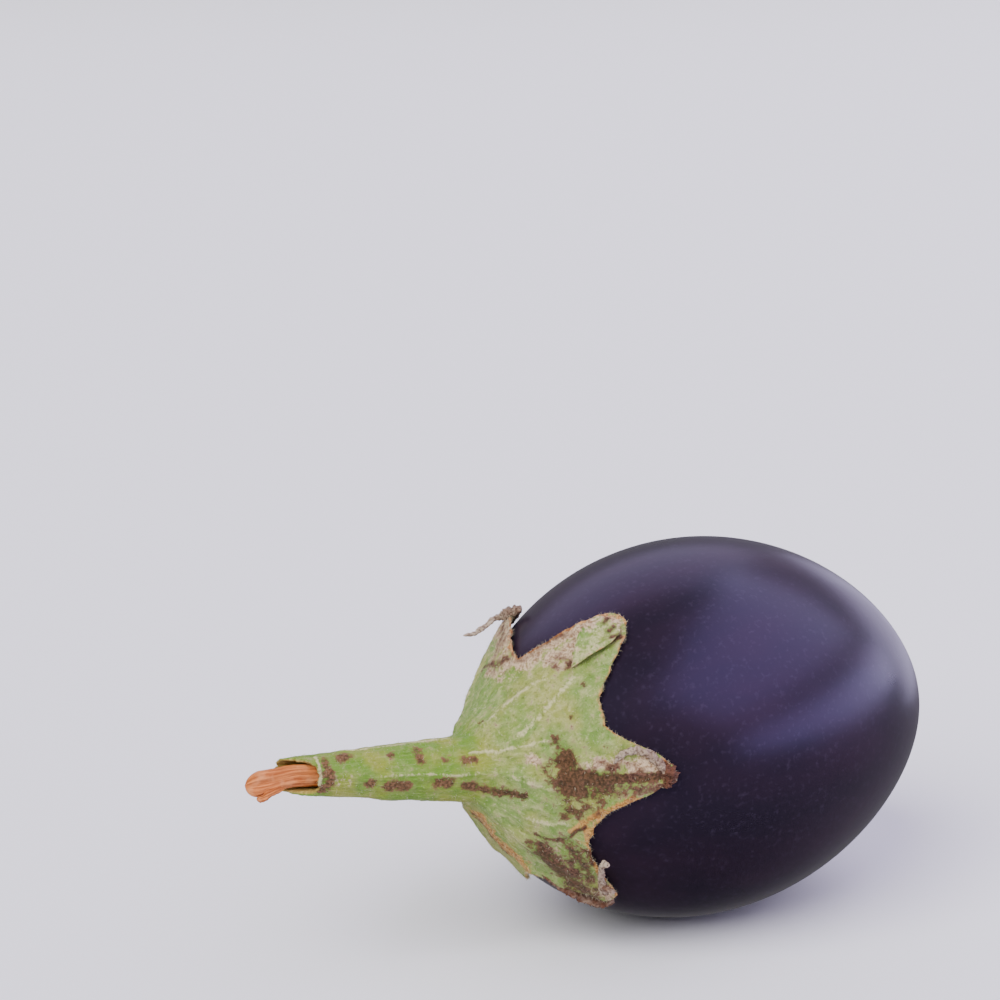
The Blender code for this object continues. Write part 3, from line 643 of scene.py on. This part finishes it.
def keep_on_points(mesh, name, values, kind="FLOAT_COLOR"):
    """Stores a value for each point of a lofted mesh, with the first and last again for its end points."""
    spread = np.asarray(values, np.float32).reshape(len(mesh.vertices) - 2, -1)
    spread = np.concatenate([spread, spread[:1], spread[-1:]])
    layer = mesh.attributes.new(name, kind, "POINT")
    layer.data.foreach_set("color" if kind == "FLOAT_COLOR" else "vector", spread.ravel())


def woolly_calyx_green():
    """Living calyx and bark: mottled green under pale scurf, corky tan and brown where it dried."""
    green, tree, place = new_material("woolly_calyx_green")
    tissue = add_node(tree, "ShaderNodeAttribute", attribute_name="tissue")
    amount = add_node(tree, "ShaderNodeSeparateColor", {0: tissue.outputs["Color"]}).outputs
    spot = add_node(tree, "ShaderNodeAttribute", attribute_name="place")
    where = add_node(tree, "ShaderNodeSeparateColor", {0: spot.outputs["Color"]}).outputs
    along_grain = add_node(tree, "ShaderNodeAttribute", attribute_name="grain").outputs["Vector"]
    wide, lumps, fine, streaks = (
        add_node(tree, "ShaderNodeTexNoise", {
            "Vector": vector, "Scale": scale, "Detail": detail, "Roughness": roughness,
        })
        for vector, scale, detail, roughness in (
            (place, lump_scale(LEAF_PATCH), 3, 0.5),
            (place, lump_scale(LEAF_LUMP), 5, 0.62),
            (place, lump_scale(LEAF_GRAIN), 4, 0.65),
            (along_grain, 1 / LEAF_STREAK, 5, 0.62),
        )
    )
    lump_swing = add_node(tree, "ShaderNodeMath", {0: lumps, 1: 0.5}, operation="SUBTRACT")
    grain_swing = add_node(tree, "ShaderNodeMath", {0: fine, 1: 0.5}, operation="SUBTRACT")
    edge = add_node(tree, "ShaderNodeMath", {
        0: where["Green"], 1: 0.75, 2: tissue.outputs["Alpha"],
    }, operation="MULTIPLY_ADD")
    tones, ragged = {}, {}
    for tone, decided_by, low, high, under, over in (
        ("leaf", wide, 0.38, 0.66, "#6b893b", "#8b9044"),
        ("bark", wide, 0.38, 0.66, "#5f8423", "#858c2f"),
        ("tan", fine, 0.38, 0.6, "#86664c", "#cdb294"),
        ("rust", fine, 0.4, 0.6, "#84481c", "#c48f4a"),
        ("cork", fine, 0.4, 0.64, "#321610", "#603a2a"),
        ("bark_cork", fine, 0.4, 0.64, "#48291b", "#7a5139"),
        ("inside", streaks, 0.2, 0.8, "#7b6424", "#c0a75c"),
    ):
        tones[tone] = layered(tree, under, ((decided_by, low, high, 1, over),), "SMOOTHSTEP")
    for patch, strength, by_lumps, by_grain in (
        ("scar", amount["Blue"], 1.0, 1.0),
        ("dry", amount["Red"], 2.2, 1.0),
        ("rim", edge, 2.4, 1.2),
        ("cork", amount["Green"], 2.2, 1.6),
    ):
        for swing, by in ((lump_swing, by_lumps), (grain_swing, by_grain)):
            strength = add_node(tree, "ShaderNodeMath", {
                0: swing, 1: by, 2: strength,
            }, operation="MULTIPLY_ADD")
        ragged[patch] = strength
    corky = add_node(tree, "ShaderNodeMix", {
        0: where["Red"], 6: tones["cork"], 7: tones["bark_cork"],
    }, data_type="RGBA")
    coloured = layered(tree, tones["leaf"], (
        (where["Red"], 0.0, 1.0, 1.0, tones["bark"]),
        (lumps, 0.4, 0.68, 0.5, "#a8a871"),
        (streaks, 0.5, 0.7, 0.35, "#c4bd88"),
        # Darker green where the streaks dip: painted shade in the grooves between the raised streaks.
        (streaks, 0.48, 0.32, 0.45, "#56722f"),
        (fine, 0.56, 0.68, 0.32, "#cfc79c"),
        (fine, 0.43, 0.33, 0.5, "#46511f"),
        (where["Red"], 0.0, 1.0, 0.45, tones["bark"]),
        (ragged["scar"], 0.3, 0.7, 0.75, "#cdc394"),
        (ragged["dry"], 0.2, 0.7, 0.92, tones["tan"]),
        (ragged["rim"], 0.5, 0.95, 0.85, tones["rust"]),
        (ragged["cork"], 0.3, 0.78, 0.93, corky),
        (where["Blue"], 0.0, 1.0, 1.0, tones["inside"]),
    ), "SMOOTHSTEP")
    deep = add_node(tree, "ShaderNodeMath", {0: fine, 1: 0.45, 2: lumps}, operation="MULTIPLY_ADD")
    raised = add_node(tree, "ShaderNodeMath", {0: streaks, 1: 0.6, 2: deep}, operation="MULTIPLY_ADD")
    roughness = add_node(tree, "ShaderNodeMapRange", {0: lumps, 1: 0.35, 2: 0.65, 3: 0.5, 4: 0.72})
    return finished(green, coloured, roughness, raised, 0.9, 0.6, {
        "Specular IOR Level": 0.3, "Sheen Weight": 0.08, "Sheen Roughness": 0.5, "Sheen Tint": "#e5e2c8",
    })


def keep_tissue(mesh, along, around, marks, rim, inside, pale_green):
    """Stores the tissue's marks at each point, how near bark and edge are, and which side is inner."""
    dry, brown, pale, orange = marks
    bark = smooth((BARK_TO - along) / BARK_BLEND)
    keep_on_points(mesh, "tissue", np.stack([dry, brown, np.maximum(pale, pale_green), orange], -1))
    keep_on_points(mesh, "place", np.stack([bark, rim, inside, np.ones_like(along)], -1))
    keep_on_points(mesh, "grain", grain_at(around, GRAIN_GIRTH, along / GRAIN_STRETCH), "FLOAT_VECTOR")


socket_bottom = along_stem(np.array([socket_floor]), path_centre)[0]
tissue_mesh = closed_loft("calyx_and_stem", tissue_points, socket_bottom, over_skin(0, 0, FIT_GAP))
to_margin = np.where(along > 0, margin_reach[None, :] - along, np.inf)
tissue_rim = np.exp(-np.maximum(to_margin, 0) / EDGE_WIDTH)
keep_tissue(tissue_mesh, along, around, marks, tissue_rim, inside, 0.0)
calyx_green = woolly_calyx_green()
new_piece("calyx_and_stem", tissue_mesh, calyx_green, "green_tissue", "calyx", "stem")


# FOLDED TIP
# The tip of the upper sepal, folded back over the blade: a thin, smooth, pale green flap with a raised pale
# crease at its left, a free edge at its right, and brown creases where it bends. It is part of the sepal.
FLAP_LEFT = (
    # reach, angle, height over the skin
    (32.2, 63, 1.7), (35.3, 68, 2.5), (37.6, 71, 3.0), (40.8, 73.6, 3.1), (43.9, 73.2, 2.7),
    (46.4, 69.5, 2.1),
)
FLAP_RIGHT = (
    (32.3, 62.4, 1.7), (35.5, 61, 2.3), (38.8, 60.3, 2.7), (42, 60, 2.8), (44.9, 62.2, 2.5), (46.6, 68, 2.1),
)
FLAP_THICKNESS, FLAP_HOLLOW, FLAP_BEND, FLAP_PALE = 0.45, 0.55, 1.5, 0.42
FLAP_CRUMPLE, FLAP_CREASE = 0.14, 0.06
FLAP_ROWS, FLAP_COLUMNS = 40, 24


def along_points(points, count):
    """Values between the rows of a list of points, at this many places."""
    values = np.array(points, float)
    steps = np.linspace(0, len(values) - 1, count)
    return np.stack([np.interp(steps, range(len(values)), column) for column in values.T], -1), steps


(left_edge, flap_rows), (right_edge, _) = (along_points(edge, FLAP_ROWS) for edge in (FLAP_LEFT, FLAP_RIGHT))
flap_columns = np.linspace(0, 1, FLAP_COLUMNS)
across = np.concatenate([flap_columns, flap_columns[::-1]])[None, :, None]
upper = np.concatenate([np.ones(FLAP_COLUMNS), -np.ones(FLAP_COLUMNS)])[None, :]
flap_places = left_edge[:, None] * (1 - across) + right_edge[:, None] * across
flap_reach, flap_angle, flap_lift = flap_places[..., 0], np.radians(flap_places[..., 1]), flap_places[..., 2]
across = across[..., 0]
hollow = FLAP_HOLLOW * (1 - 4 * across * (1 - across)) * smooth(flap_rows / FLAP_BEND)[:, None]
edge_bead = FLAP_THICKNESS / 2 * np.sqrt(np.clip(1 - (2 * across - 1) ** 6, 0.03, 1))
flat_end = smooth((flap_rows[-1] - flap_rows) / FLAP_BEND)[:, None]
flap_heights = flap_lift + hollow * flat_end + upper * edge_bead
flap_points = over_skin(flap_reach, flap_angle, flap_heights)
crumple = FLAP_CRUMPLE * noise_at(flap_points, 2.4, 21) + FLAP_CREASE * noise_at(flap_points, 0.9, 22)
flap_points = flap_points + unit(flap_points - FRUIT_MIDDLE) * crumple[..., None]
flap_mesh = closed_loft("folded_sepal_tip", flap_points, flap_points[0].mean(0), flap_points[-1].mean(0))
flap_rim = np.broadcast_to(0.75 * np.clip(2 * np.abs(across - 0.5), 0, 1) ** 6, flap_heights.shape)
flap_marks = tissue_marks(flap_reach, flap_angle)
keep_tissue(flap_mesh, flap_reach, flap_angle, flap_marks, flap_rim, 0 * flap_heights, FLAP_PALE)
new_piece("folded_sepal_tip", flap_mesh, calyx_green, "green_tissue")


# DRY TIPS AND ROLLED EDGES
# Where the thin edge of a sepal dried first it rolled up, and some tips ended as a twisted thread. The tissue
# there is dead, papery and grey-tan to pinkish brown, and is still part of the sepal.
PAPER_BLOTCH, PAPER_CREASE = 2.0, 0.625
STRAND_SIDES, STRAND_ROWS, STRAND_TWIST, STRAND_LEAST, STRAND_RIDGE = 24, 72, 1.2, 0.1, 0.12
DRY_STRANDS = {
    # tone at its start and end (0 grey, 1 brown), depth of its creases, and its points: reach, angle,
    # height over the skin, half width, half thickness
    "tip_knot": (0.7, 0.4, 0.75, (
        (39.6, 116, 2.0, 0.4, 0.35), (40.6, 119, 2.1, 0.8, 0.6), (41.0, 122.5, 2.0, 1.2, 0.9),
        (41.8, 127, 2.2, 1.6, 1.1), (42.0, 130.5, 2.6, 1.5, 1.1), (41.8, 133, 3.2, 0.9, 0.7),
    )),
    "tip_thread": (0.3, 0.0, 0.4, (
        (42.0, 130.5, 2.7, 0.9, 0.7), (41.6, 132.5, 3.7, 1.0, 0.7), (39.9, 133.2, 4.6, 0.8, 0.55),
        (37.6, 134.3, 5.2, 0.7, 0.45), (35.4, 135.3, 6.0, 0.6, 0.4), (33.3, 135.5, 8.1, 0.3, 0.25),
    )),
    "front_sepal_roll": (0.0, 0.6, 0.5, (
        (32.6, 15.5, 1.2, 0.3, 0.3), (34, 18, 1.7, 0.6, 0.5), (36, 19.5, 2.0, 0.75, 0.65),
        (38.6, 19, 2.2, 0.85, 0.75), (40.9, 16, 2.3, 0.9, 0.8), (42.4, 12.5, 2.2, 1.0, 0.8),
        (43.2, 10, 1.9, 0.9, 0.6),
    )),
    "front_tip_knob": (1.5, 1.2, 0.7, (
        (42.4, 13, 1.5, 0.6, 0.5), (43.6, 11.4, 1.8, 1.2, 0.9), (44.3, 9.3, 1.9, 1.5, 1.0),
        (43.9, 6.8, 1.7, 1.3, 0.9), (42.6, 4.8, 1.3, 0.7, 0.5),
    )),
    "near_lower_roll": (0.9, 0.7, 0.5, (
        (26, 288.5, 1.1, 0.5, 0.4), (30, 290, 1.4, 0.8, 0.6), (34.5, 292.5, 1.6, 0.9, 0.75),
        (38.5, 294, 1.7, 1.0, 0.8), (41, 298, 1.6, 1.2, 0.9), (41.2, 304, 1.6, 1.1, 0.8),
    )),
    "near_lower_curl": (0.5, 0.0, 0.55, (
        (39.0, 306, 1.6, 1.0, 0.7), (37.6, 309.5, 1.9, 1.1, 0.7), (36.2, 313.5, 2.3, 1.0, 0.6),
        (34.7, 319, 2.8, 0.9, 0.55), (33.6, 325.5, 3.4, 0.9, 0.5), (33.3, 330, 4.1, 0.8, 0.45),
        (34.4, 331.8, 4.7, 0.5, 0.35),
    )),
    "near_lower_hook": (0.8, 0.4, 0.5, (
        (37.4, 309, 2.0, 0.9, 0.6), (36.8, 314.5, 3.2, 0.8, 0.5), (37.8, 316.5, 4.2, 0.6, 0.4),
        (38.9, 315, 4.0, 0.4, 0.3),
    )),
    "far_tip_curl": (0.7, 0.3, 0.5, (
        (42, 190, 1.6, 1.3, 0.7), (45.4, 189.5, 2.4, 1.3, 0.7), (46.4, 187, 3.8, 1.0, 0.6),
        (45, 184.5, 4.8, 0.6, 0.45),
    )),
}


def strand_rings(points, creasing):
    """Rings of a flat, wrinkled strand that follows its points over the skin, and its middle line."""
    given = np.array(points, float)
    spots = over_skin(given[:, 0], np.radians(given[:, 1]), given[:, 2])
    t = np.linspace(0, len(given) - 1, STRAND_ROWS)
    i = np.clip(t.astype(int), 0, len(given) - 2)
    f = (t - i)[:, None]

    def curve(values):
        padded = np.concatenate([values[:1] * 2 - values[1:2], values, values[-1:] * 2 - values[-2:-1]])
        a, b, c, d = (padded[i + k] for k in range(4))
        bent = 2 * b + (c - a) * f + (2 * a - 5 * b + 4 * c - d) * f**2
        return 0.5 * (bent + (3 * b - a - 3 * c + d) * f**3)

    centre, size = curve(spots), np.maximum(curve(given[:, 3:5]), STRAND_LEAST)
    ahead = unit(np.gradient(centre, axis=0))
    side = unit(np.cross(ahead, centre - FRUIT_MIDDLE))
    up = np.cross(side, ahead)
    turns = np.linspace(0, math.tau, STRAND_SIDES, endpoint=False)
    twist = np.linspace(0, STRAND_TWIST, STRAND_ROWS)[:, None]
    across = np.cos(turns)[None, :] * size[:, :1]
    rise = np.sin(turns)[None, :] * size[:, 1:]
    x = across * np.cos(twist) - rise * np.sin(twist)
    y = across * np.sin(twist) + rise * np.cos(twist)
    ends = np.sqrt(np.clip(1 - np.abs(np.linspace(-1, 1, STRAND_ROWS)) ** 16, 0.04, 1))[:, None]
    ring = centre[:, None] + side[:, None] * (x * ends)[..., None] + up[:, None] * (y * ends)[..., None]
    crease = creasing * (noise_at(ring, 1.0, 11) + 0.4 * noise_at(ring, 0.4, 14))
    crease = crease + STRAND_RIDGE * np.cos(turns * 3 + twist * 4)
    crease = crease * ends * np.minimum(size.mean(1)[:, None], 1)
    return ring + unit(ring - centre[:, None]) * crease[..., None], centre


def papery_dry_sepal():
    """Dead sepal edge: papery, wrinkled, grey to pinkish brown with dark creases."""
    paper, tree, place = new_material("papery_dry_sepal")
    tone = add_node(tree, "ShaderNodeAttribute", attribute_name="tone").outputs["Fac"]
    blotches = add_node(tree, "ShaderNodeTexNoise", {
        "Vector": place, "Scale": lump_scale(PAPER_BLOTCH), "Detail": 4, "Roughness": 0.65,
    })
    creases = add_node(tree, "ShaderNodeTexNoise", {
        "Vector": place, "Scale": lump_scale(PAPER_CREASE), "Detail": 3,
    })
    browning = add_node(tree, "ShaderNodeMath", {0: blotches, 1: 1.5, 2: tone}, operation="MULTIPLY_ADD")
    layers = ((browning, 0.7, 1.7, 1, "#65402f"), (creases, 0.52, 0.36, 0.75, "#4a3428"))
    coloured = layered(tree, "#b5a48e", layers)
    return finished(paper, coloured, 0.7, creases, 0.9, 0.5, {"Specular IOR Level": 0.3})


paper = papery_dry_sepal()
for strand_name, (start_tone, end_tone, creasing, points) in DRY_STRANDS.items():
    ring_points, middle_line = strand_rings(points, creasing)
    strand_mesh = closed_loft(strand_name, ring_points, middle_line[0], middle_line[-1])
    tones = np.repeat(np.linspace(start_tone, end_tone, STRAND_ROWS), STRAND_SIDES)
    tones = np.append(tones, (start_tone, end_tone)).astype(np.float32)
    strand_mesh.attributes.new("tone", "FLOAT", "POINT").data.foreach_set("value", tones)
    new_piece(strand_name, strand_mesh, paper, "green_tissue")


# HAIRS
# The fine, short, pale hairs that grow on the calyx and the stalk, thickest along the sepals' edges. They are
# soft, and too thin to be part of a solid.
HAIR_LENGTH, HAIR_THICKNESS, HAIR_TIP, HAIRS_PER_MM2, HAIR_PATCH = 0.75, 0.07, 0.012, 1.1, 1.667
HAIR_SHORTEST, HAIR_TALLEST, HAIR_LEAN, HAIR_TURN = 0.45, 1.1, 0.9, 6.28


def hair_tree(sizes):
    """Stands tapering hairs on a mesh, where its stored edge and inner-side values let them grow."""
    tree, given, out = geometry_tree("hair_growth", sizes)
    size = given.outputs
    spot = add_node(tree, "GeometryNodeInputNamedAttribute", {"Name": "place"}, data_type="FLOAT_COLOR")
    where = add_node(tree, "FunctionNodeSeparateColor", {0: spot}).outputs
    thick = add_node(tree, "ShaderNodeMath", {0: where["Green"], 1: 3.0, 2: 0.4}, operation="MULTIPLY_ADD")
    outer = add_node(tree, "ShaderNodeMath", {0: where["Blue"], 1: 0.5}, operation="LESS_THAN")
    share = add_node(tree, "ShaderNodeMath", {0: thick, 1: outer}, operation="MULTIPLY")
    density = add_node(tree, "ShaderNodeMath", {0: share, 1: size["Density"]}, operation="MULTIPLY")
    scatter = add_node(tree, "GeometryNodeDistributePointsOnFaces", {
        "Mesh": size["Geometry"], "Density": density, "Seed": 7,
    }).outputs
    root, tip = (
        add_node(tree, "ShaderNodeMath", {0: size[thickness], 1: 0.5}, operation="MULTIPLY")
        for thickness in ("Thickness", "Tip Thickness")
    )
    hair = add_node(tree, "GeometryNodeMeshCone", {
        "Vertices": 3, "Radius Top": tip, "Radius Bottom": root, "Depth": size["Length"],
    })
    lean = add_node(tree, "FunctionNodeRandomValue", {
        0: (-HAIR_LEAN, -HAIR_LEAN, 0), 1: (HAIR_LEAN, HAIR_LEAN, HAIR_TURN), "Seed": 3,
    }, data_type="FLOAT_VECTOR").outputs[0]
    tilted = add_node(tree, "FunctionNodeRotateEuler", {
        "Rotation": scatter["Rotation"], "Rotate By": lean,
    }, space="LOCAL")
    tall = add_node(tree, "FunctionNodeRandomValue", {
        2: HAIR_SHORTEST, 3: HAIR_TALLEST, "Seed": 5,
    }, data_type="FLOAT").outputs[1]
    stood = add_node(tree, "GeometryNodeInstanceOnPoints", {
        "Points": scatter["Points"], "Instance": hair.outputs["Mesh"], "Rotation": tilted, "Scale": tall,
    })
    real = add_node(tree, "GeometryNodeRealizeInstances", {"Geometry": stood})
    coloured = add_node(tree, "GeometryNodeSetMaterial", {"Geometry": real, "Material": size["Hair"]})
    tree.links.new(coloured.outputs[0], out.inputs[0])
    return tree


def pale_plant_hair():
    """Plant hair: matt, dead-white to straw, mottled from hair to hair."""
    hair, tree, place = new_material("pale_plant_hair")
    patches = add_node(tree, "ShaderNodeTexNoise", {
        "Vector": place, "Scale": lump_scale(HAIR_PATCH), "Detail": 2,
    })
    colour = add_node(tree, "ShaderNodeMix", {0: patches, 6: "#9d9468", 7: "#e3dcc0"}, data_type="RGBA")
    return finished(hair, colour, 0.7, patches, 0.2, 0.05, {})


hair_sizes = {
    "Length": HAIR_LENGTH * MM, "Thickness": HAIR_THICKNESS * MM, "Tip Thickness": HAIR_TIP * MM,
    "Density": HAIRS_PER_MM2 / MM**2, "Hair": pale_plant_hair(),
}
hairs = grown("plant_hairs", tissue_mesh.copy(), hair_tree(hair_sizes), hair_sizes)
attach(hairs, "root")


# WOOD
# The stalk's woody core, laid bare where the bark tore away: a flattened, grooved strip of pale orange-brown
# fibre. It stands in the bark's socket, and its end is rounded and bent a little down.
WOOD_LENGTH, WOOD_WIDTH, WOOD_THICKNESS, WOOD_END_WIDTH, WOOD_DROOP = 25.9, 5.0, 3.3, 6.0, 1.8
WOOD_SET_IN, WOOD_GROOVE, WOOD_CLOUD = 0.35, 0.5, 3.333
WOOD_ROWS, WOOD_SIDES = 110, 72
FIBRE_WIDTH, FIBRE_LENGTH, FIBRE_HEIGHT, WOOD_BUMP_HEIGHT = 0.625, 11.77, 0.1, 0.06


def wood_rings():
    """Rings of the strip, with fibres, a groove down its near side, and a swollen, ragged end."""
    share = np.linspace(0, 1, WOOD_ROWS)[:, None]
    turns = np.linspace(0, math.tau, WOOD_SIDES, endpoint=False)[None, :]
    spread = smooth((share - 0.7) / 0.25)
    rounding = np.sqrt(np.clip(1 - np.clip((share - 0.86) / 0.142, 0, 1) ** 2, 0.01, 1))
    tall = (WOOD_WIDTH + (WOOD_END_WIDTH - WOOD_WIDTH) * spread) / 2 * rounding
    groove = WOOD_GROOVE * np.clip(np.cos(turns - 0.1), 0, 1) ** 14 * smooth(share / 0.3) * rounding
    sideways = WOOD_THICKNESS / 2 * rounding * np.cos(turns) - groove
    upward = tall * np.sin(turns) - WOOD_DROOP * smooth((share - 0.55) / 0.45)
    distance = socket_floor + WOOD_SET_IN + WOOD_LENGTH * share + 0 * turns
    near, up = stem_axes(distance)
    ring = along_stem(distance, path_centre) + near * sideways[..., None] + up * upward[..., None]
    centre = ring.mean(1, keepdims=True)
    fibres = np.stack(np.broadcast_arrays(turns * 6, share * 3, 0), -1)
    fibre = FIBRE_HEIGHT * noise_at(fibres, 0.6, 12) + WOOD_BUMP_HEIGHT * noise_at(ring, 1.5, 13)
    return ring + unit(ring - centre) * (fibre * rounding)[..., None], centre[:, 0], turns, share


def bare_stalk_wood():
    """Fresh stalk wood: pale orange-brown and matt, with fine darker fibres along it."""
    wood, tree, place = new_material("bare_stalk_wood")
    grain = add_node(tree, "ShaderNodeAttribute", attribute_name="grain").outputs["Vector"]
    fibres = add_node(tree, "ShaderNodeTexNoise", {
        "Vector": grain, "Scale": 1.0, "Detail": 5, "Roughness": 0.6,
    })
    clouds = add_node(tree, "ShaderNodeTexNoise", {
        "Vector": place, "Scale": lump_scale(WOOD_CLOUD), "Detail": 3,
    })
    layers = ((fibres, 0.4, 0.62, 1, "#de8646"), (clouds, 0.5, 0.72, 0.5, "#eba56c"))
    coloured = layered(tree, "#974c1d", layers)
    return finished(wood, coloured, 0.6, fibres, 0.9, 0.5, {"Specular IOR Level": 0.35})


wood_points, wood_middle, wood_turns, wood_share = wood_rings()
wood_tip = wood_middle[-1] + unit(wood_middle[-1] - wood_middle[-4]) * 0.15
wood_mesh = closed_loft("stem_wood_core", wood_points, wood_middle[0], wood_tip)
wood_grain = grain_at(wood_turns, WOOD_WIDTH / 2 / FIBRE_WIDTH, wood_share * WOOD_LENGTH / FIBRE_LENGTH)
keep_on_points(wood_mesh, "grain", wood_grain, "FLOAT_VECTOR")
stalk_wood = bare_stalk_wood()
new_piece("stem_wood_core", wood_mesh, stalk_wood, "bare_wood", "stem_wood")


# SLIVER
# A thin sliver of the same wood that split off the strip's lower edge and bends down at its end.
# It is placed along the stem's middle line, as the strip is.
SLIVER = (
    # share of the strip's length, toward the near side, up, half width, half thickness
    (0.66, 1.0, -2.2, 0.4, 0.3), (0.74, 1.3, -2.8, 0.7, 0.4), (0.81, 1.5, -3.6, 0.9, 0.45),
    (0.87, 1.4, -4.3, 0.9, 0.45), (0.91, 1.1, -4.5, 0.6, 0.35),
)
SLIVER_ROWS, SLIVER_SIDES, SLIVER_RAGGED, SLIVER_GIRTH = 40, 20, 0.35, 1.25
sliver_share, nearer, higher, half_width, half_thickness = along_points(SLIVER, SLIVER_ROWS)[0].T[..., None]
sliver_at = socket_floor + WOOD_SET_IN + WOOD_LENGTH * sliver_share[:, 0]
sliver_near, sliver_up = stem_axes(sliver_at)
sliver_middle = along_stem(sliver_at, path_centre) + sliver_near * nearer + sliver_up * higher
sliver_turns = np.linspace(0, math.tau, SLIVER_SIDES, endpoint=False)
turned_near = sliver_near[:, None] * np.cos(sliver_turns)[None, :, None] * half_thickness[:, None]
turned_up = sliver_up[:, None] * np.sin(sliver_turns)[None, :, None] * half_width[:, None]
rounding = np.sqrt(np.clip(1 - np.abs(np.linspace(-1, 1, SLIVER_ROWS)) ** 8, 0.05, 1))
sliver_out = (turned_near + turned_up) * rounding[:, None, None]
sliver_points = sliver_middle[:, None] + sliver_out
sliver_points = sliver_points + sliver_out * SLIVER_RAGGED * noise_at(sliver_points, 1.1, 31)[..., None]
sliver_mesh = closed_loft("wood_sliver", sliver_points, sliver_middle[0], sliver_middle[-1])
sliver_length = sliver_share * WOOD_LENGTH / FIBRE_LENGTH
sliver_grain = grain_at(sliver_turns[None, :], SLIVER_GIRTH / FIBRE_WIDTH, sliver_length)
keep_on_points(sliver_mesh, "grain", sliver_grain, "FLOAT_VECTOR")
new_piece("wood_sliver", sliver_mesh, stalk_wood, "bare_wood")


# CAMERA
# A long lens a little above the fruit, from the stem's near side, as in the photograph.
CAMERA_YAW, CAMERA_PITCH = math.radians(34), math.radians(14.24)
CAMERA_DISTANCE, CAMERA_RIGHT, CAMERA_UP = 647.2, 45.85, -52.6
right = Vector((math.cos(CAMERA_YAW), -math.sin(CAMERA_YAW), 0))
level = Vector((math.sin(CAMERA_YAW), math.cos(CAMERA_YAW), 0))
above = level * math.sin(CAMERA_PITCH) + Vector((0, 0, math.cos(CAMERA_PITCH)))
sight = level * math.cos(CAMERA_PITCH) - Vector((0, 0, math.sin(CAMERA_PITCH)))
camera_data = bpy.data.cameras.new("camera")
camera_data.lens, camera_data.sensor_width = 100, 36
camera_data.clip_start, camera_data.clip_end = 0.01, 50
camera = bpy.data.objects.new("camera", camera_data)
eye = Vector(FRUIT_MIDDLE - [0, 0.01, 0.11]) - right * CAMERA_RIGHT - above * CAMERA_UP - sight * CAMERA_DISTANCE
turn = Matrix((right, above, -sight)).transposed().to_4x4()
camera.matrix_world = Matrix.Translation(eye * MM) @ turn
bpy.context.scene.collection.objects.link(camera)
bpy.context.scene.camera = camera


# FLOOR AND LIGHT
# A plain white table, four soft boxes at the right and behind, and a glow from above that the skin doesn't
# mirror. The table keeps out of the skin's mirror image too, as in the cut-out photograph. The even room is
# darker straight below, where the skin mirrors its own shadow.
BOX_DISTANCE, BOX_MIDDLE, BOX_COLOUR = 3.5, Vector((0, 0, 0.04)), "#d6cdf6"
SOFT_BOXES = (
    # name, direction from the fruit: degrees from -Y toward +X, degrees up, then width and height in m, watts
    ("right_high_box", 45, 54, 6.8, 3.1, 190),
    ("right_low_box", 52, 8.7, 7.0, 1.05, 101),
    ("right_back_box", 115, 1, 1.9, 1.65, 20),
    ("back_high_box", 160, 46, 3.9, 2.8, 50),
)
GLOW_STRENGTH, GLOW_ANGLE, GLOW_TOWARD = 4.1, math.radians(45), Vector((0.66, 0.28, -0.7))
ROOM_COLOUR, ROOM_DARK, ROOM_LIGHT, ROOM_DARK_TO, ROOM_LIGHT_FROM = "#f3eff0", 0.06, 0.29, -0.9, -0.6
TABLE_HALF, TABLE_TOOTH = 40, 1.111
for box_name, toward, up, width, height, watts in SOFT_BOXES:
    toward, up = math.radians(toward), math.radians(up)
    direction = Vector((math.cos(up) * math.sin(toward), -math.cos(up) * math.cos(toward), math.sin(up)))
    light = bpy.data.lights.new(box_name, "AREA")
    light.shape, light.size, light.size_y, light.energy = "RECTANGLE", width, height, watts
    light.color = linear(BOX_COLOUR)[:3]
    lamp = bpy.data.objects.new(box_name, light)
    lamp.location = direction * BOX_DISTANCE + BOX_MIDDLE
    lamp.rotation_euler = (-direction).to_track_quat("-Z", "Y").to_euler()
    bpy.context.scene.collection.objects.link(lamp)
glow = bpy.data.lights.new("overhead_glow", "SUN")
glow.energy, glow.angle = GLOW_STRENGTH, GLOW_ANGLE
glow_lamp = bpy.data.objects.new("overhead_glow", glow)
glow_lamp.rotation_euler = GLOW_TOWARD.to_track_quat("-Z", "Y").to_euler()
glow_lamp.visible_glossy = False
bpy.context.scene.collection.objects.link(glow_lamp)
world = bpy.data.worlds.new("studio")
world.use_nodes = True
studio = world.node_tree
studio.nodes.clear()
seen_way = add_node(studio, "ShaderNodeTexCoord").outputs["Generated"]
seen_up = add_node(studio, "ShaderNodeSeparateXYZ", {0: seen_way}).outputs["Z"]
brightness = add_node(studio, "ShaderNodeMapRange", {
    0: seen_up, 1: ROOM_DARK_TO, 2: ROOM_LIGHT_FROM, 3: ROOM_DARK, 4: ROOM_LIGHT,
})
room = add_node(studio, "ShaderNodeBackground", {"Color": ROOM_COLOUR, "Strength": brightness})
add_node(studio, "ShaderNodeOutputWorld", {"Surface": room})
bpy.context.scene.world = world


def matt_white_table():
    """Painted table top: plain, pale and matt, with a barely visible tooth."""
    paint, tree, place = new_material("matt_white_table")
    tooth = add_node(tree, "ShaderNodeTexNoise", {
        "Vector": place, "Scale": lump_scale(TABLE_TOOTH), "Detail": 2,
    })
    return finished(paint, "#f2f2f2", 0.8, tooth, 0.05, 0.2, {})


floor_mesh = bpy.data.meshes.new("table_top")
corners = [(x * TABLE_HALF, y * TABLE_HALF, 0) for x, y in ((-1, -1), (1, -1), (1, 1), (-1, 1))]
floor_mesh.from_pydata(corners, [], [(0, 1, 2, 3)])
floor_mesh.materials.append(matt_white_table())
table_top = bpy.data.objects.new("table_top", floor_mesh)
bpy.context.scene.collection.objects.link(table_top)
table_top.visible_glossy = False
